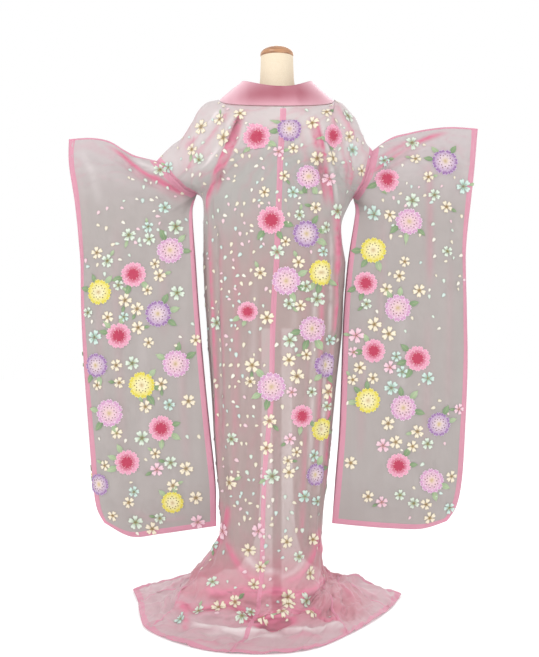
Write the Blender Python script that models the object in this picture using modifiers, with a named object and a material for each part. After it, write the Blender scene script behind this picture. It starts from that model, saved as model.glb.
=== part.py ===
"""Uchikake wedding kimono on a limbless dress form, with its train spread on the floor.

Metres, +Z up. The garment's back faces -Y, so the wearer's left is at -X.
The origin is on the floor under the middle of the whole. The tables below measure X outward
from the dress form's axis and Y from that axis, and are placed by AXIS_X and AXIS_Y.
"""

import math
from collections import namedtuple

import bmesh
import bpy
import numpy as np

# Driving sizes
AXIS_X, AXIS_Y = 0.0109, 0.1020  # the dress form's axis from the origin
LEFT, RIGHT = -1, 1  # the wearer's sides, as signs of X
WALL = 0.0015  # organza wall, drawn thick enough to hold together
COLLAR_WALL = 0.0025  # doubled collar band
GAP = 0.0003  # between pieces at a seam
ARM_GAP = 0.0010  # between the body's middle and the sleeve's at the armhole
NECK_GAP = 0.0021  # between the collar's middle and the neck edge, which bends sharply
SIDE_SEAM = 0.43  # share of a half's hem width that the back panel takes
OKUMI_SEAM = 0.78  # share taken by the back and front panels together
OKUMI_TIP = 0.993  # share at which the okumi's point starts, under the collar
NECK_SHARE = 0.40  # share of the back panel's top that is neckline, the rest is shoulder
SQUARE = 0.010  # how far the body's rings swell past an ellipse
NECK_OUT, NECK_SIDE_Z = 0.165, 1.449  # where the collar crosses the shoulder
LOWEST_MIDDLE = 0.0022  # least height of a wall's middle over the floor

# Sections of the body, from the collar down to the ankle. x, y, z at the centre back; the
# half's widest point to the left and right as a distance out and a height; the front edge as
# distance out, y and z; gape is half the armhole's width, and turn the arc to the side.
Section = namedtuple(
    "Section",
    "name rows back_x back_y back_z left_out left_z right_out right_z"
    " front_out front_y front_z gape turn",
)
SECTIONS = (
    Section("neck", 4, 0.017, -0.118, 1.408, 0.342, 1.277, 0.271, 1.306,
            0.165, 0.000, 1.449, 0.000, 55),
    Section("blade", 3, 0.015, -0.130, 1.345, 0.300, 1.236, 0.254, 1.244,
            0.150, 0.118, 1.345, 0.026, 58),
    Section("scye", 3, 0.009, -0.136, 1.270, 0.260, 1.199, 0.232, 1.196,
            0.136, 0.140, 1.270, 0.026, 66),
    Section("armpit", 2, 0.006, -0.138, 1.185, 0.213, 1.172, 0.206, 1.158,
            0.128, 0.150, 1.185, 0.000, 90),
    Section("under arm", 2, 0.002, -0.136, 1.080, 0.206, 1.080, 0.176, 1.075,
            0.114, 0.152, 1.080, 0.000, 90),
    Section("waist", 2, -0.002, -0.134, 0.980, 0.201, 0.980, 0.186, 0.985,
            0.104, 0.148, 0.980, 0.000, 90),
    Section("hip", 2, -0.009, -0.136, 0.880, 0.196, 0.880, 0.180, 0.880,
            0.048, 0.142, 0.880, 0.000, 90),
    Section("seat", 2, -0.013, -0.138, 0.790, 0.190, 0.790, 0.176, 0.790,
            0.046, 0.140, 0.790, 0.000, 90),
    Section("thigh", 2, -0.018, -0.138, 0.600, 0.177, 0.600, 0.156, 0.600,
            0.045, 0.135, 0.600, 0.000, 90),
    Section("knee", 2, -0.034, -0.138, 0.430, 0.165, 0.430, 0.141, 0.430,
            0.046, 0.130, 0.430, 0.000, 90),
    Section("shin", 1, -0.040, -0.138, 0.300, 0.153, 0.300, 0.125, 0.300,
            0.050, 0.130, 0.300, 0.000, 90),
    Section("ankle", 0, -0.042, -0.140, 0.200, 0.150, 0.215, 0.118, 0.200,
            0.056, 0.132, 0.200, 0.000, 90),
)

# The train, from the ankle to the hem: how far the cloth has spread from the ankle's ring to
# the hem's line, and its height, at the centre back, at each side seam and at the front edge.
Spread = namedtuple(
    "Spread",
    "name rows back back_z left left_z right right_z front front_z",
)
TRAIN = (
    Spread("ankle", 2, 0.00, 0.200, 0.00, 0.215, 0.00, 0.200, 0.00, 0.200),
    Spread("break", 2, 0.03, 0.125, 0.18, 0.165, 0.05, 0.130, 0.07, 0.125),
    Spread("lip", 1, 0.11, 0.080, 0.38, 0.118, 0.14, 0.095, 0.18, 0.085),
    Spread("under lip", 2, 0.15, 0.050, 0.50, 0.080, 0.22, 0.070, 0.28, 0.065),
    Spread("shelf", 1, 0.33, 0.040, 0.63, 0.050, 0.40, 0.052, 0.46, 0.056),
    Spread("shelf edge", 2, 0.41, 0.014, 0.71, 0.028, 0.52, 0.030, 0.62, 0.042),
    Spread("floor", 2, 0.66, 0.008, 0.84, 0.011, 0.76, 0.011, 0.84, 0.022),
    Spread("hem", 0, 1.00, 0.003, 1.00, 0.003, 1.00, 0.003, 1.00, 0.003),
)

# The hem's line on the floor, from the centre back to the front corner: share of the half's
# width, distance out and y.
HemPoint = namedtuple("HemPoint", "share out y")
HEM = {
    LEFT: (
        HemPoint(0.00, 0.118, -0.413), HemPoint(0.12, 0.190, -0.380),
        HemPoint(0.26, 0.275, -0.305), HemPoint(0.43, 0.350, -0.200),
        HemPoint(0.60, 0.380, -0.080), HemPoint(0.80, 0.405, 0.070),
        HemPoint(1.00, 0.437, 0.208),
    ),
    RIGHT: (
        HemPoint(0.00, -0.118, -0.413), HemPoint(0.15, 0.000, -0.415),
        HemPoint(0.30, 0.100, -0.365), HemPoint(0.43, 0.186, -0.252),
        HemPoint(0.60, 0.262, -0.125), HemPoint(0.80, 0.327, 0.010),
        HemPoint(1.00, 0.372, 0.148),
    ),
}
FRONT_SWEEP = 0.035  # how far the front edges bow forward on the floor

# The shoulder line from the collar to the armhole: distance out and height.
Ridge = namedtuple("Ridge", "out z")
SHOULDER = {
    LEFT: (
        Ridge(0.165, 1.449), Ridge(0.198, 1.441), Ridge(0.222, 1.418),
        Ridge(0.240, 1.385), Ridge(0.268, 1.343), Ridge(0.300, 1.320),
        Ridge(0.342, 1.277),
    ),
    RIGHT: (
        Ridge(0.162, 1.449), Ridge(0.185, 1.437), Ridge(0.207, 1.415),
        Ridge(0.226, 1.390), Ridge(0.240, 1.356), Ridge(0.254, 1.326),
        Ridge(0.271, 1.306),
    ),
}

# Folds along the body: place as a share of the half's width at the top and at the bottom,
# first and last section by number, depth and half width as a share.
Fold = namedtuple("Fold", "top bottom first last depth width")
FOLDS = {
    LEFT: (
        Fold(0.10, 0.07, 3.4, 13.0, 0.005, 0.035),
        Fold(0.20, 0.17, 3.0, 13.5, 0.007, 0.035),
        Fold(0.31, 0.29, 2.6, 14.0, 0.009, 0.030),
        Fold(0.39, 0.38, 3.0, 14.0, 0.008, 0.025),
        Fold(0.54, 0.52, 3.4, 14.0, 0.009, 0.035),
        Fold(0.67, 0.65, 3.6, 14.0, 0.008, 0.035),
        Fold(0.86, 0.87, 7.4, 14.0, 0.006, 0.035),
    ),
    RIGHT: (
        Fold(0.09, 0.10, 3.6, 13.0, 0.005, 0.035),
        Fold(0.19, 0.18, 2.8, 13.6, 0.009, 0.025),
        Fold(0.27, 0.25, 2.6, 13.0, 0.012, 0.025),
        Fold(0.35, 0.32, 3.0, 13.2, 0.010, 0.025),
        Fold(0.41, 0.39, 4.0, 13.4, 0.007, 0.025),
        Fold(0.55, 0.53, 3.4, 14.0, 0.010, 0.035),
        Fold(0.68, 0.66, 3.6, 14.0, 0.008, 0.035),
        Fold(0.87, 0.86, 7.4, 14.0, 0.006, 0.035),
    ),
}

# The fold where each shoulder's cloth laps over the back: its place by section number.
LAP_SHARES = (0.07, 0.13, 0.20, 0.33, 0.42)
LAP_DEPTH, LAP_INSIDE, LAP_OUTSIDE = 0.020, 0.034, 0.090

# Crumples where the cloth breaks on the floor: height, waves across a half and how many more
# the right half has than the left, waves down the train and where they start, in radians.
Crumple = namedtuple("Crumple", "height across uneven down start")
CRUMPLES = (
    Crumple(0.0070, 23, 2, 2.4, 0.0),
    Crumple(0.0042, 41, -3, 3.1, 1.0),
)

# Sleeves: outlines as distance out from the form's axis and height.
SLEEVE_TOP = {
    LEFT: ((0.402, 1.292), (0.436, 1.309), (0.479, 1.334), (0.530, 1.343), (0.593, 1.339)),
    RIGHT: ((0.325, 1.343), (0.375, 1.357), (0.430, 1.368), (0.496, 1.374), (0.572, 1.369)),
}
SLEEVE_OUTER = {
    LEFT: ((0.593, 1.339), (0.592, 1.270), (0.573, 1.158), (0.559, 1.020), (0.555, 0.860),
           (0.546, 0.700), (0.533, 0.530), (0.521, 0.380), (0.509, 0.295), (0.487, 0.252)),
    RIGHT: ((0.572, 1.369), (0.563, 1.280), (0.549, 1.163), (0.536, 1.040), (0.537, 0.860),
            (0.538, 0.700), (0.531, 0.530), (0.522, 0.380), (0.506, 0.300), (0.479, 0.257)),
}
SLEEVE_BOTTOM = {
    LEFT: ((0.171, 0.246), (0.250, 0.234), (0.330, 0.222), (0.412, 0.214), (0.487, 0.252)),
    RIGHT: ((0.154, 0.254), (0.235, 0.245), (0.320, 0.238), (0.408, 0.236), (0.479, 0.257)),
}
SLEEVE_INNER = {  # below the armhole
    LEFT: ((0.237, 1.150), (0.239, 1.110), (0.230, 0.980), (0.220, 0.840),
           (0.206, 0.680), (0.190, 0.520), (0.174, 0.370), (0.171, 0.246)),
    RIGHT: ((0.222, 1.140), (0.218, 1.100), (0.200, 0.980), (0.188, 0.840),
            (0.182, 0.680), (0.176, 0.520), (0.164, 0.370), (0.154, 0.254)),
}
SLEEVE_HALF_DEPTH = 0.024  # half the hollow between a sleeve's two faces
SLEEVE_LEAN = -0.046  # how far the sleeves hang behind the form's axis at their foot
CUFF_END = 0.34  # share of the outer edge down to which the cuff is open
CUFF_OPEN = 0.6  # share of the hollow that stays open at the cuff
GUSSET_SHARE = 0.30  # share of a sleeve's width that still follows the armhole's gape
SWAG_DEPTH = 0.016  # the fold that hangs across the sleeve's head, from cuff to armpit
SWAG_FALL = 0.22  # share of the sleeve's length that it falls
OUTER_ROWS = 16  # rows of a sleeve below the armhole
BACK_COLUMNS, FRONT_COLUMNS, OKUMI_COLUMNS, SLEEVE_COLUMNS = 11, 7, 4, 11

# The collar's free edge by section, from the side of the neck to its lower end.
CollarEdge = namedtuple("CollarEdge", "out y z")
COLLAR_FREE = (
    CollarEdge(0.100, -0.004, 1.500), CollarEdge(0.086, 0.114, 1.376),
    CollarEdge(0.074, 0.148, 1.286), CollarEdge(0.066, 0.160, 1.196),
    CollarEdge(0.052, 0.160, 1.084), CollarEdge(0.042, 0.155, 0.982),
    CollarEdge(0.037, 0.149, 0.882), CollarEdge(0.036, 0.146, 0.800),
)
COLLAR_BACK_Y, COLLAR_BACK_Z = -0.098, 1.468
COLLAR_LAST = 6.25  # section number of its lower end
COLLAR_ROLL = 0.004  # how far the band's middle rolls outward
COLLAR_BANDS = 4  # rows of points across the band
COLLAR_SEAM_OUT = (0.165, 0.150, 0.136, 0.128, 0.114, 0.104, 0.100, 0.098)  # by section

# Dress form: height, half width and half depth of the body's ellipses, from the neck down.
Ellipse = namedtuple("Ellipse", "z half_width half_depth y")
TORSO = (
    Ellipse(1.574, 0.046, 0.046, 0.000), Ellipse(1.540, 0.047, 0.047, 0.000),
    Ellipse(1.490, 0.051, 0.051, 0.000), Ellipse(1.455, 0.064, 0.058, -0.004),
    Ellipse(1.432, 0.108, 0.068, -0.008), Ellipse(1.408, 0.148, 0.078, -0.012),
    Ellipse(1.375, 0.174, 0.088, -0.010), Ellipse(1.330, 0.180, 0.096, -0.006),
    Ellipse(1.270, 0.170, 0.106, 0.000), Ellipse(1.195, 0.156, 0.116, 0.006),
    Ellipse(1.110, 0.138, 0.106, 0.004), Ellipse(1.020, 0.118, 0.090, 0.000),
    Ellipse(0.930, 0.136, 0.098, -0.004), Ellipse(0.860, 0.150, 0.108, -0.006),
    Ellipse(0.800, 0.150, 0.108, -0.006),
)
TORSO_SIDES = 28
CAP_TOP, CAP_RADIUS = 1.604, 0.0475
POLE_RADIUS = 0.015
BASE_RADIUS, BASE_EDGE, BASE_TOP = 0.120, 0.008, 0.016

# Colours, linear, with roughness and metallic
Finish = namedtuple("Finish", "colour roughness metallic")
ORGANZA = Finish((0.53, 0.43, 0.44), 0.45, 0.0)
TRAIN_PINK = Finish((0.78, 0.43, 0.50), 0.45, 0.0)
COLLAR_PINK = Finish((0.74, 0.30, 0.38), 0.55, 0.0)
LINEN = Finish((0.84, 0.78, 0.64), 0.85, 0.0)
WOOD = Finish((0.42, 0.24, 0.11), 0.35, 0.0)
STEEL = Finish((0.55, 0.55, 0.56), 0.30, 1.0)

TRAIN_START = len(SECTIONS) - 1
LAST_SECTION = TRAIN_START + len(TRAIN) - 1
ARMPIT, UNDER_ARM = 3, 4  # section numbers
STEP_ACROSS, STEP_DOWN = 0.008, 0.12  # for slopes, as shares and as section numbers


def ease(x):
    """Smooth step from 0 to 1."""
    x = np.clip(x, 0.0, 1.0)
    return x * x * (3.0 - 2.0 * x)


def along(values, place):
    """A smooth curve through evenly numbered values, read at fractional numbers."""
    values = np.asarray(values, float)
    place = np.asarray(place, float)
    last = len(values) - 1
    start = np.clip(np.floor(place).astype(int), 0, last - 1)
    t = (place - start).reshape(place.shape + (1,) * (values.ndim - 1))
    before = values[np.maximum(start - 1, 0)]
    here, there = values[start], values[start + 1]
    beyond = values[np.minimum(start + 2, last)]
    return here + 0.5 * t * (
        there - before
        + t * (2 * before - 5 * here + 4 * there - beyond
               + t * (3 * (here - there) + beyond - before))
    )


def column(table, field, place):
    return along([getattr(row, field) for row in table], place)


def side_field(side, field):
    return ("left" if side == LEFT else "right") + field


def ring_back(side, s, v):
    """The body's back at section number v, from the centre back, s = 0, to the side, s = 1."""
    back = [column(SECTIONS, f, v) for f in ("back_x", "back_y", "back_z")]
    side_x = side * column(SECTIONS, side_field(side, "_out"), v)
    side_z = column(SECTIONS, side_field(side, "_z"), v)
    edge_y = -column(SECTIONS, "gape", v)
    turn = np.radians(column(SECTIONS, "turn", v))
    angle = s * turn
    swell = SQUARE * np.sin(2 * angle) ** 2 * (turn / (math.pi / 2)) ** 4
    across = np.sin(angle) / np.sin(turn)
    depth = (np.cos(angle) - np.cos(turn)) / (1 - np.cos(turn))
    return np.stack([
        back[0] + (side_x - back[0]) * across + side * swell,
        edge_y + (back[1] - edge_y) * depth - swell,
        side_z + (back[2] - side_z) * np.cos(s * math.pi / 2) ** 2,
    ], -1)


def ring_front(side, p, v):
    """The body's front at section number v, from the side, p = 0, to the front edge, p = 1."""
    front_x = side * column(SECTIONS, "front_out", v)
    front_y = column(SECTIONS, "front_y", v)
    front_z = column(SECTIONS, "front_z", v)
    side_x = side * column(SECTIONS, side_field(side, "_out"), v)
    side_z = column(SECTIONS, side_field(side, "_z"), v)
    edge_y = column(SECTIONS, "gape", v)
    turn = np.radians(column(SECTIONS, "turn", v))
    angle = (1 - p) * turn
    swell = SQUARE * np.sin(2 * angle) ** 2 * (turn / (math.pi / 2)) ** 4
    across = np.sin(angle) / np.sin(turn)
    depth = (np.cos(angle) - np.cos(turn)) / (1 - np.cos(turn))
    return np.stack([
        front_x + (side_x - front_x) * across + side * swell,
        edge_y + (front_y - edge_y) * depth + swell,
        side_z + (front_z - side_z) * np.sin(p * math.pi / 2) ** 2,
    ], -1)


def shoulder_line(side, share):
    """The shoulder line, from the collar, share = 0, to the armhole, share = 1."""
    place = share * (len(SHOULDER[side]) - 1)
    out, z = (column(SHOULDER[side], f, place) for f in ("out", "z"))
    return np.stack([side * out, np.zeros_like(out), z], -1)


def back_top(side, s):
    """The back panel's top edge: half the neckline, then the shoulder line."""
    neck = np.clip(s / NECK_SHARE, None, 1.0)
    first = SECTIONS[0]
    quarter = neck * math.pi / 2
    neckline = np.stack([
        first.back_x + (side * NECK_OUT - first.back_x) * np.sin(quarter),
        first.back_y * np.cos(quarter),
        first.back_z + (NECK_SIDE_Z - first.back_z) * neck ** 2,
    ], -1)
    ridge = shoulder_line(side, np.clip((s - NECK_SHARE) / (1 - NECK_SHARE), 0.0, None))
    return np.where((s < NECK_SHARE)[..., None], neckline, ridge)


def over_shoulder(top, below, lift, v):
    """From the shoulder's top edge down to the first full section, as a rounded bend."""
    bend = np.stack([
        top[..., 0], below[..., 1],
        below[..., 2] + (top[..., 2] - below[..., 2]) * lift,
    ], -1)
    t = np.clip(v, None, 1.0)[..., None]
    return (1 - t) ** 2 * top + 2 * t * (1 - t) * bend + t * t * below


def spread(side, w, v, foot):
    """The train: foot is the ankle's ring, which opens out to the hem's line."""
    place = np.clip(v - TRAIN_START, 0.0, None)
    to_side = ease(w / SIDE_SEAM)
    to_front = ease((w - SIDE_SEAM) / (1 - SIDE_SEAM))
    side_name = side_field(side, "")

    def blended(ends):
        back, middle, front = (column(TRAIN, f, place) for f in ends)
        return back + (middle - back) * to_side + (front - middle) * to_front

    amount = blended(("back", side_name, "front"))
    height = blended(("back_z", side_name + "_z", "front_z"))
    hem = HEM[side]
    shares = [point.share for point in hem]
    at = np.interp(w, shares, range(len(hem)))
    at = at + np.minimum(w, 0) / shares[1] + np.maximum(w - 1, 0) / (1 - shares[-2])
    out, y = side * column(hem, "out", at), column(hem, "y", at)
    bow = FRONT_SWEEP * np.sin(math.pi * np.clip(amount, 0, 1)) * ease((w - 0.5) / 0.5)
    return np.stack([
        foot[..., 0] + (out - foot[..., 0]) * amount,
        foot[..., 1] + (y - foot[..., 1]) * amount + bow,
        height,
    ], -1)


def base_point(side, w, v, panel):
    """A point of the cloth without its folds. w is the share of the half's width."""
    if panel == "back":
        s = w / SIDE_SEAM
        ring = ring_back(side, s, np.clip(v, 1.0, TRAIN_START))
        top, lift = back_top(side, s), 0.5 + 0.5 * ease(s / NECK_SHARE)
    else:
        p = (w - SIDE_SEAM) / (1 - SIDE_SEAM)
        ring = ring_front(side, p, np.clip(v, 1.0, TRAIN_START))
        top, lift = shoulder_line(side, 1 - p), np.ones_like(p)
    yoke = over_shoulder(top, ring, lift, v)
    floor = spread(side, w, v, ring)
    points = np.where((v < 1.0)[..., None], yoke, ring)
    return np.where((v > TRAIN_START)[..., None], floor, points)


def slopes(function, w, v):
    """Unit normals of a half's surface, outward on the right, from its slopes along w and v."""
    across = function(w + STEP_ACROSS, v) - function(w - STEP_ACROSS, v)
    down = function(w, v + STEP_DOWN) - function(w, v - STEP_DOWN)
    normal = np.cross(down, across)
    return normal / np.linalg.norm(normal, axis=-1, keepdims=True)


def fold_height(side, w, v, panel):
    """How far the folds stand out from the plain body."""
    height = np.zeros_like(w)
    for fold in FOLDS[side]:
        t = (v - fold.first) / (fold.last - fold.first)
        place = fold.top + (fold.bottom - fold.top) * np.clip(t, 0, 1)
        strength = ease(t * 5) * ease((1 - t) * 3)
        height += fold.depth * strength * np.exp(-(((w - place) / fold.width) ** 2))
    if panel == "back":
        place = along(LAP_SHARES, np.clip(v, 0, len(LAP_SHARES) - 1))
        width = np.where(w < place, LAP_INSIDE, LAP_OUTSIDE)
        strength = ease((v - 0.2) / 1.3) * ease((3.1 - v) / 1.5)
        height += LAP_DEPTH * strength * np.exp(-(((w - place) / width) ** 2))
    floor = ease((v - TRAIN_START - 0.5) / 1.5) * ease((LAST_SECTION - v) / 1.5)
    for wave in CRUMPLES:
        across = np.cos((wave.across + wave.uneven * side) * w)
        height += wave.height * floor * across * np.cos(wave.down * v + wave.start)
    return height


def body_point(side, w, v, panel):
    """A point in the middle of the body's cloth."""
    def base(ww, vv):
        return base_point(side, ww, vv, panel)

    outward = slopes(base, w, v) * side
    points = base(w, v) + outward * fold_height(side, w, v, panel)[..., None]
    points[..., 2] = np.maximum(points[..., 2], LOWEST_MIDDLE)
    return points


def body_normal(side, w, v, panel):
    return slopes(lambda ww, vv: body_point(side, ww, vv, panel), w, v) * side


def row_places(first, last):
    """Section numbers of the mesh rows between two sections."""
    tables = SECTIONS[:-1] + TRAIN
    places = []
    for index in range(first, last):
        rows = tables[index].rows
        places += [index + k / rows for k in range(rows)]
    return np.array(places + [last], float)


def new_object(name, mesh, finish):
    material = bpy.data.materials.new(name + "_finish")
    material.use_nodes = True
    shader = material.node_tree.nodes["Principled BSDF"]
    shader.inputs["Base Color"].default_value = (*finish.colour, 1.0)
    shader.inputs["Roughness"].default_value = finish.roughness
    shader.inputs["Metallic"].default_value = finish.metallic
    mesh.materials.append(material)
    mesh.shade_smooth()
    mesh.set_sharp_from_angle(angle=math.radians(40))
    made = bpy.data.objects.new(name, mesh)
    made.location = (AXIS_X, AXIS_Y, 0.0)
    PARTS.objects.link(made)
    return made


def loft(name, rings, finish):
    """A solid through closed rings of points, with a flat cap at each end."""
    mesh = bmesh.new()
    rows = [[mesh.verts.new(point) for point in ring] for ring in rings]
    count = len(rows[0])
    for upper, lower in zip(rows, rows[1:]):
        for k in range(count):
            n = (k + 1) % count
            mesh.faces.new((upper[k], upper[n], lower[n], lower[k]))
    mesh.faces.new(rows[0])
    mesh.faces.new(rows[-1])
    bmesh.ops.recalc_face_normals(mesh, faces=mesh.faces)
    data = bpy.data.meshes.new(name)
    mesh.to_mesh(data)
    mesh.free()
    return new_object(name, data, finish)


def wall(name, middle, normal, thickness, finish):
    """A cloth wall: a grid of middle points, thickened both ways along its normals."""
    across, down = np.gradient(middle, axis=1), np.gradient(middle, axis=0)
    if (np.cross(across, down) * normal).sum() < 0:
        middle, normal = middle[:, ::-1], normal[:, ::-1]
    half = thickness / 2 * normal
    rows, columns = middle.shape[:2]
    mesh = bmesh.new()
    outer, inner = (
        [[mesh.verts.new(skin[r, c]) for c in range(columns)] for r in range(rows)]
        for skin in (middle + half, middle - half)
    )
    for r in range(rows - 1):
        for c in range(columns - 1):
            corners = [(r, c), (r, c + 1), (r + 1, c + 1), (r + 1, c)]
            one, other = (np.linalg.norm(middle[corners[k]] - middle[corners[k + 2]])
                          for k in (0, 1))
            if other < one:  # both skins split along the shorter diagonal, so never cross
                corners = corners[1:] + corners[:1]
            for three in ((0, 1, 2), (0, 2, 3)):
                mesh.faces.new([outer[i][j] for i, j in (corners[k] for k in three)])
                mesh.faces.new([inner[i][j] for i, j in (corners[k] for k in three[::-1])])
    edge = [(r, 0) for r in range(rows)] + [(rows - 1, c) for c in range(1, columns)]
    edge += [(r, columns - 1) for r in range(rows - 2, -1, -1)]
    edge += [(0, c) for c in range(columns - 2, 0, -1)]
    for (r, c), (r2, c2) in zip(edge, edge[1:] + edge[:1]):
        out, out2, in2, in1 = outer[r][c], outer[r2][c2], inner[r2][c2], inner[r][c]
        if r2 >= r:  # neighbours share this diagonal, so that their edges run side by side
            rim = (out, out2, in2), (out, in2, in1)
        else:
            rim = (out, out2, in1), (out2, in2, in1)
        for corners in rim:
            mesh.faces.new(corners)
    data = bpy.data.meshes.new(name)
    mesh.to_mesh(data)
    mesh.free()
    return new_object(name, data, finish)


def centre_back(v):
    return np.zeros_like(v)


def side_seam(v):
    return np.full_like(v, SIDE_SEAM)


def front_edge(v):
    return np.ones_like(v)


def okumi_seam(v):
    """Where the front panel ends: at the okumi's seam, or above it at the collar."""
    narrowing = OKUMI_SEAM + (OKUMI_TIP - OKUMI_SEAM) * ease((UNDER_ARM + 2.5 - v) / 2.5)
    return np.where(v < UNDER_ARM, 1.0, narrowing)


def match_seam(middle, normal, edge, neighbour, first):
    """Sets one edge of a grid halfway to its neighbour's, from a section number down."""
    sewn = neighbour[2] >= first
    points, normals = body_point(*neighbour), body_normal(*neighbour)
    both = normal[:, edge] + normals
    both /= np.linalg.norm(both, axis=-1, keepdims=True)
    normal[sewn, edge] = both[sewn]
    middle[sewn, edge] = (middle[sewn, edge] + points[sewn]) / 2


def panel_grid(side, panel, start, end, first, last, columns):
    """The middle points and normals of a body panel between two seams, given as shares."""
    v = np.repeat(row_places(first, last)[:, None], columns, 1)
    t = np.linspace(0, 1, columns)[None, :]
    w = start(v) + (end(v) - start(v)) * t
    middle = body_point(side, w, v, panel)
    normal = body_normal(side, w, v, panel)
    if panel == "back":
        match_seam(middle, normal, 0, (-side, w[:, 0], v[:, 0], "back"), 0)
        match_seam(middle, normal, -1, (side, w[:, -1], v[:, -1], "front"), ARMPIT)
    elif start is side_seam:
        match_seam(middle, normal, 0, (side, w[:, 0], v[:, 0], "back"), ARMPIT)
    across = np.gradient(middle, axis=1)
    across /= np.linalg.norm(across, axis=-1, keepdims=True)
    middle[:, 0] += across[:, 0] * GAP / 2
    middle[:, -1] -= across[:, -1] * GAP / 2
    if first == 0:
        middle[0, :, 1] += GAP / 2 * (-1 if panel == "back" else 1)
    return middle, normal


def body_panel(name, side, panel, start, end, first, columns):
    grid = panel_grid(side, panel, start, end, first, LAST_SECTION, columns)
    return wall(name, *grid, WALL, ORGANZA)


def armhole(side, panel):
    """The body's armhole edge and normals, row by row, for the sleeve to meet."""
    v = row_places(0, ARMPIT)[:-1]
    w = np.full_like(v, SIDE_SEAM)
    return body_point(side, w, v, panel), body_normal(side, w, v, panel)


def polyline(points, shares):
    """A smooth curve through outline points, read at shares of its length."""
    points = np.asarray(points, float)
    lengths = np.linalg.norm(np.diff(points, axis=0), axis=1)
    run = np.concatenate([[0], np.cumsum(lengths)]) / lengths.sum()
    return along(points, np.interp(shares, run, range(len(points))))


def sleeve_face(side, panel):
    """One face of a hanging sleeve, as a patch between its four edges."""
    seam, seam_normal = armhole(side, panel)
    across = np.linspace(0, 1, SLEEVE_COLUMNS)
    arm_rows = len(seam)
    rows = arm_rows + OUTER_ROWS
    down = np.linspace(0, 1, rows)
    seam_out = np.stack([seam[:, 0] * side, seam[:, 2]], -1)
    tip = seam_out[0]
    top = polyline([tip, *SLEEVE_TOP[side]], across)
    bottom = polyline(SLEEVE_BOTTOM[side], across)
    outer = polyline(SLEEVE_OUTER[side], down)
    armpit = seam_out[-1]
    below = polyline([armpit, *SLEEVE_INNER[side]], np.linspace(0, 1, OUTER_ROWS + 1)[1:])
    inner = np.concatenate([seam_out, below])
    s, t = across[None, :, None], down[:, None, None]
    patch = (
        (1 - s) * inner[:, None] + s * outer[:, None]
        + (1 - t) * top[None] + t * bottom[None]
        - (1 - s) * (1 - t) * top[0] - s * (1 - t) * top[-1]
        - (1 - s) * t * bottom[0] - s * t * bottom[-1]
    )
    face_sign = -1 if panel == "back" else 1
    s, t = s[..., 0], t[..., 0]
    closed = (WALL + GAP) / 2
    cuff = ease(t / 0.06) * ease((CUFF_END - t) / 0.08)
    open_across = np.maximum(ease((1 - s) / 0.22), CUFF_OPEN * cuff)
    hollow = SLEEVE_HALF_DEPTH * ease(t / 0.16) * ease((1 - t) / 0.10) * open_across
    arm_share = np.arange(rows) / (arm_rows - 1)
    gape = np.interp(np.arange(rows), range(arm_rows), np.abs(seam[:, 1]))
    gape = np.where(arm_share > 1, SLEEVE_HALF_DEPTH * ease((arm_share - 1) * 2.5), gape)
    near = ease(1 - s / GUSSET_SHARE) * ease((2.2 - arm_share[:, None]) / 1.2)
    depth = closed + hollow * (1 - near) + gape[:, None] * near
    lean = SLEEVE_LEAN * ease(t / 0.75) * (1 - 0.35 * s)
    swag = SWAG_DEPTH * np.exp(-(((t - 0.05 - SWAG_FALL * (1 - s)) / 0.05) ** 2))
    swag *= ease(s / 0.2) * ease((1 - s) / 0.2) * (1.0 if panel == "back" else 0.4)
    y = lean + face_sign * (depth + swag)
    middle = np.stack([patch[..., 0] * side, y, patch[..., 1]], -1)
    normal = np.cross(np.gradient(middle, axis=1), np.gradient(middle, axis=0))
    normal /= np.linalg.norm(normal, axis=-1, keepdims=True)
    normal *= np.sign(normal[..., 1:2]) * face_sign
    middle[:arm_rows, 0] = seam + np.array([side, 0.0, 0.0]) * ARM_GAP
    normal[:arm_rows, 0] = seam_normal
    return middle, normal


def seam_share(side, v):
    """Where the collar's seam runs on the front, as a share of the half's width."""
    shares = np.linspace(OKUMI_SEAM, 1.0, 45)
    target = np.interp(v, range(len(COLLAR_SEAM_OUT)), COLLAR_SEAM_OUT)
    found = []
    for row, out in zip(v, target):
        reach = body_point(side, shares, np.full_like(shares, row), "front")[:, 0] * side
        found.append(np.interp(out, reach[::-1], shares[::-1]))
    return np.where(v < UNDER_ARM + 1, 1.0, found)


def collar_half(side):
    """One half of the collar, from the centre back to its lower end: seam and free edges."""
    s = np.linspace(0.0, NECK_SHARE, 5)
    share = s / NECK_SHARE
    v = row_places(0, 6)
    v = np.append(v[(v > 0.1) & (v < COLLAR_LAST)], COLLAR_LAST)
    w = seam_share(side, v)
    back = (side, s * SIDE_SEAM, 0 * s, "back")
    front = (side, w, v, "front")
    seam = np.concatenate([body_point(*back), body_point(*front)])
    outward = np.concatenate([body_normal(*back), body_normal(*front)])
    first, quarter = COLLAR_FREE[0], share * math.pi / 2
    centre = SECTIONS[0].back_x
    round_neck = np.stack([
        centre + (side * first.out - centre) * np.sin(quarter),
        first.y + (COLLAR_BACK_Y - first.y) * np.cos(quarter),
        COLLAR_BACK_Z + (first.z - COLLAR_BACK_Z) * np.sin(quarter) ** 2,
    ], -1)
    down_front = np.stack([
        side * column(COLLAR_FREE, "out", v), column(COLLAR_FREE, "y", v),
        column(COLLAR_FREE, "z", v),
    ], -1)
    free = np.concatenate([round_neck, down_front])
    lapped = np.concatenate([0 * s, ease((v - UNDER_ARM) / 0.8)])[:, None]
    inward = free - seam
    inward /= np.linalg.norm(inward, axis=-1, keepdims=True)
    stand_off = WALL / 2 + COLLAR_WALL / 2 + 2 * GAP
    seam = seam + outward * stand_off * lapped + inward * NECK_GAP * (1 - lapped)
    return seam, outward, free


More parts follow.
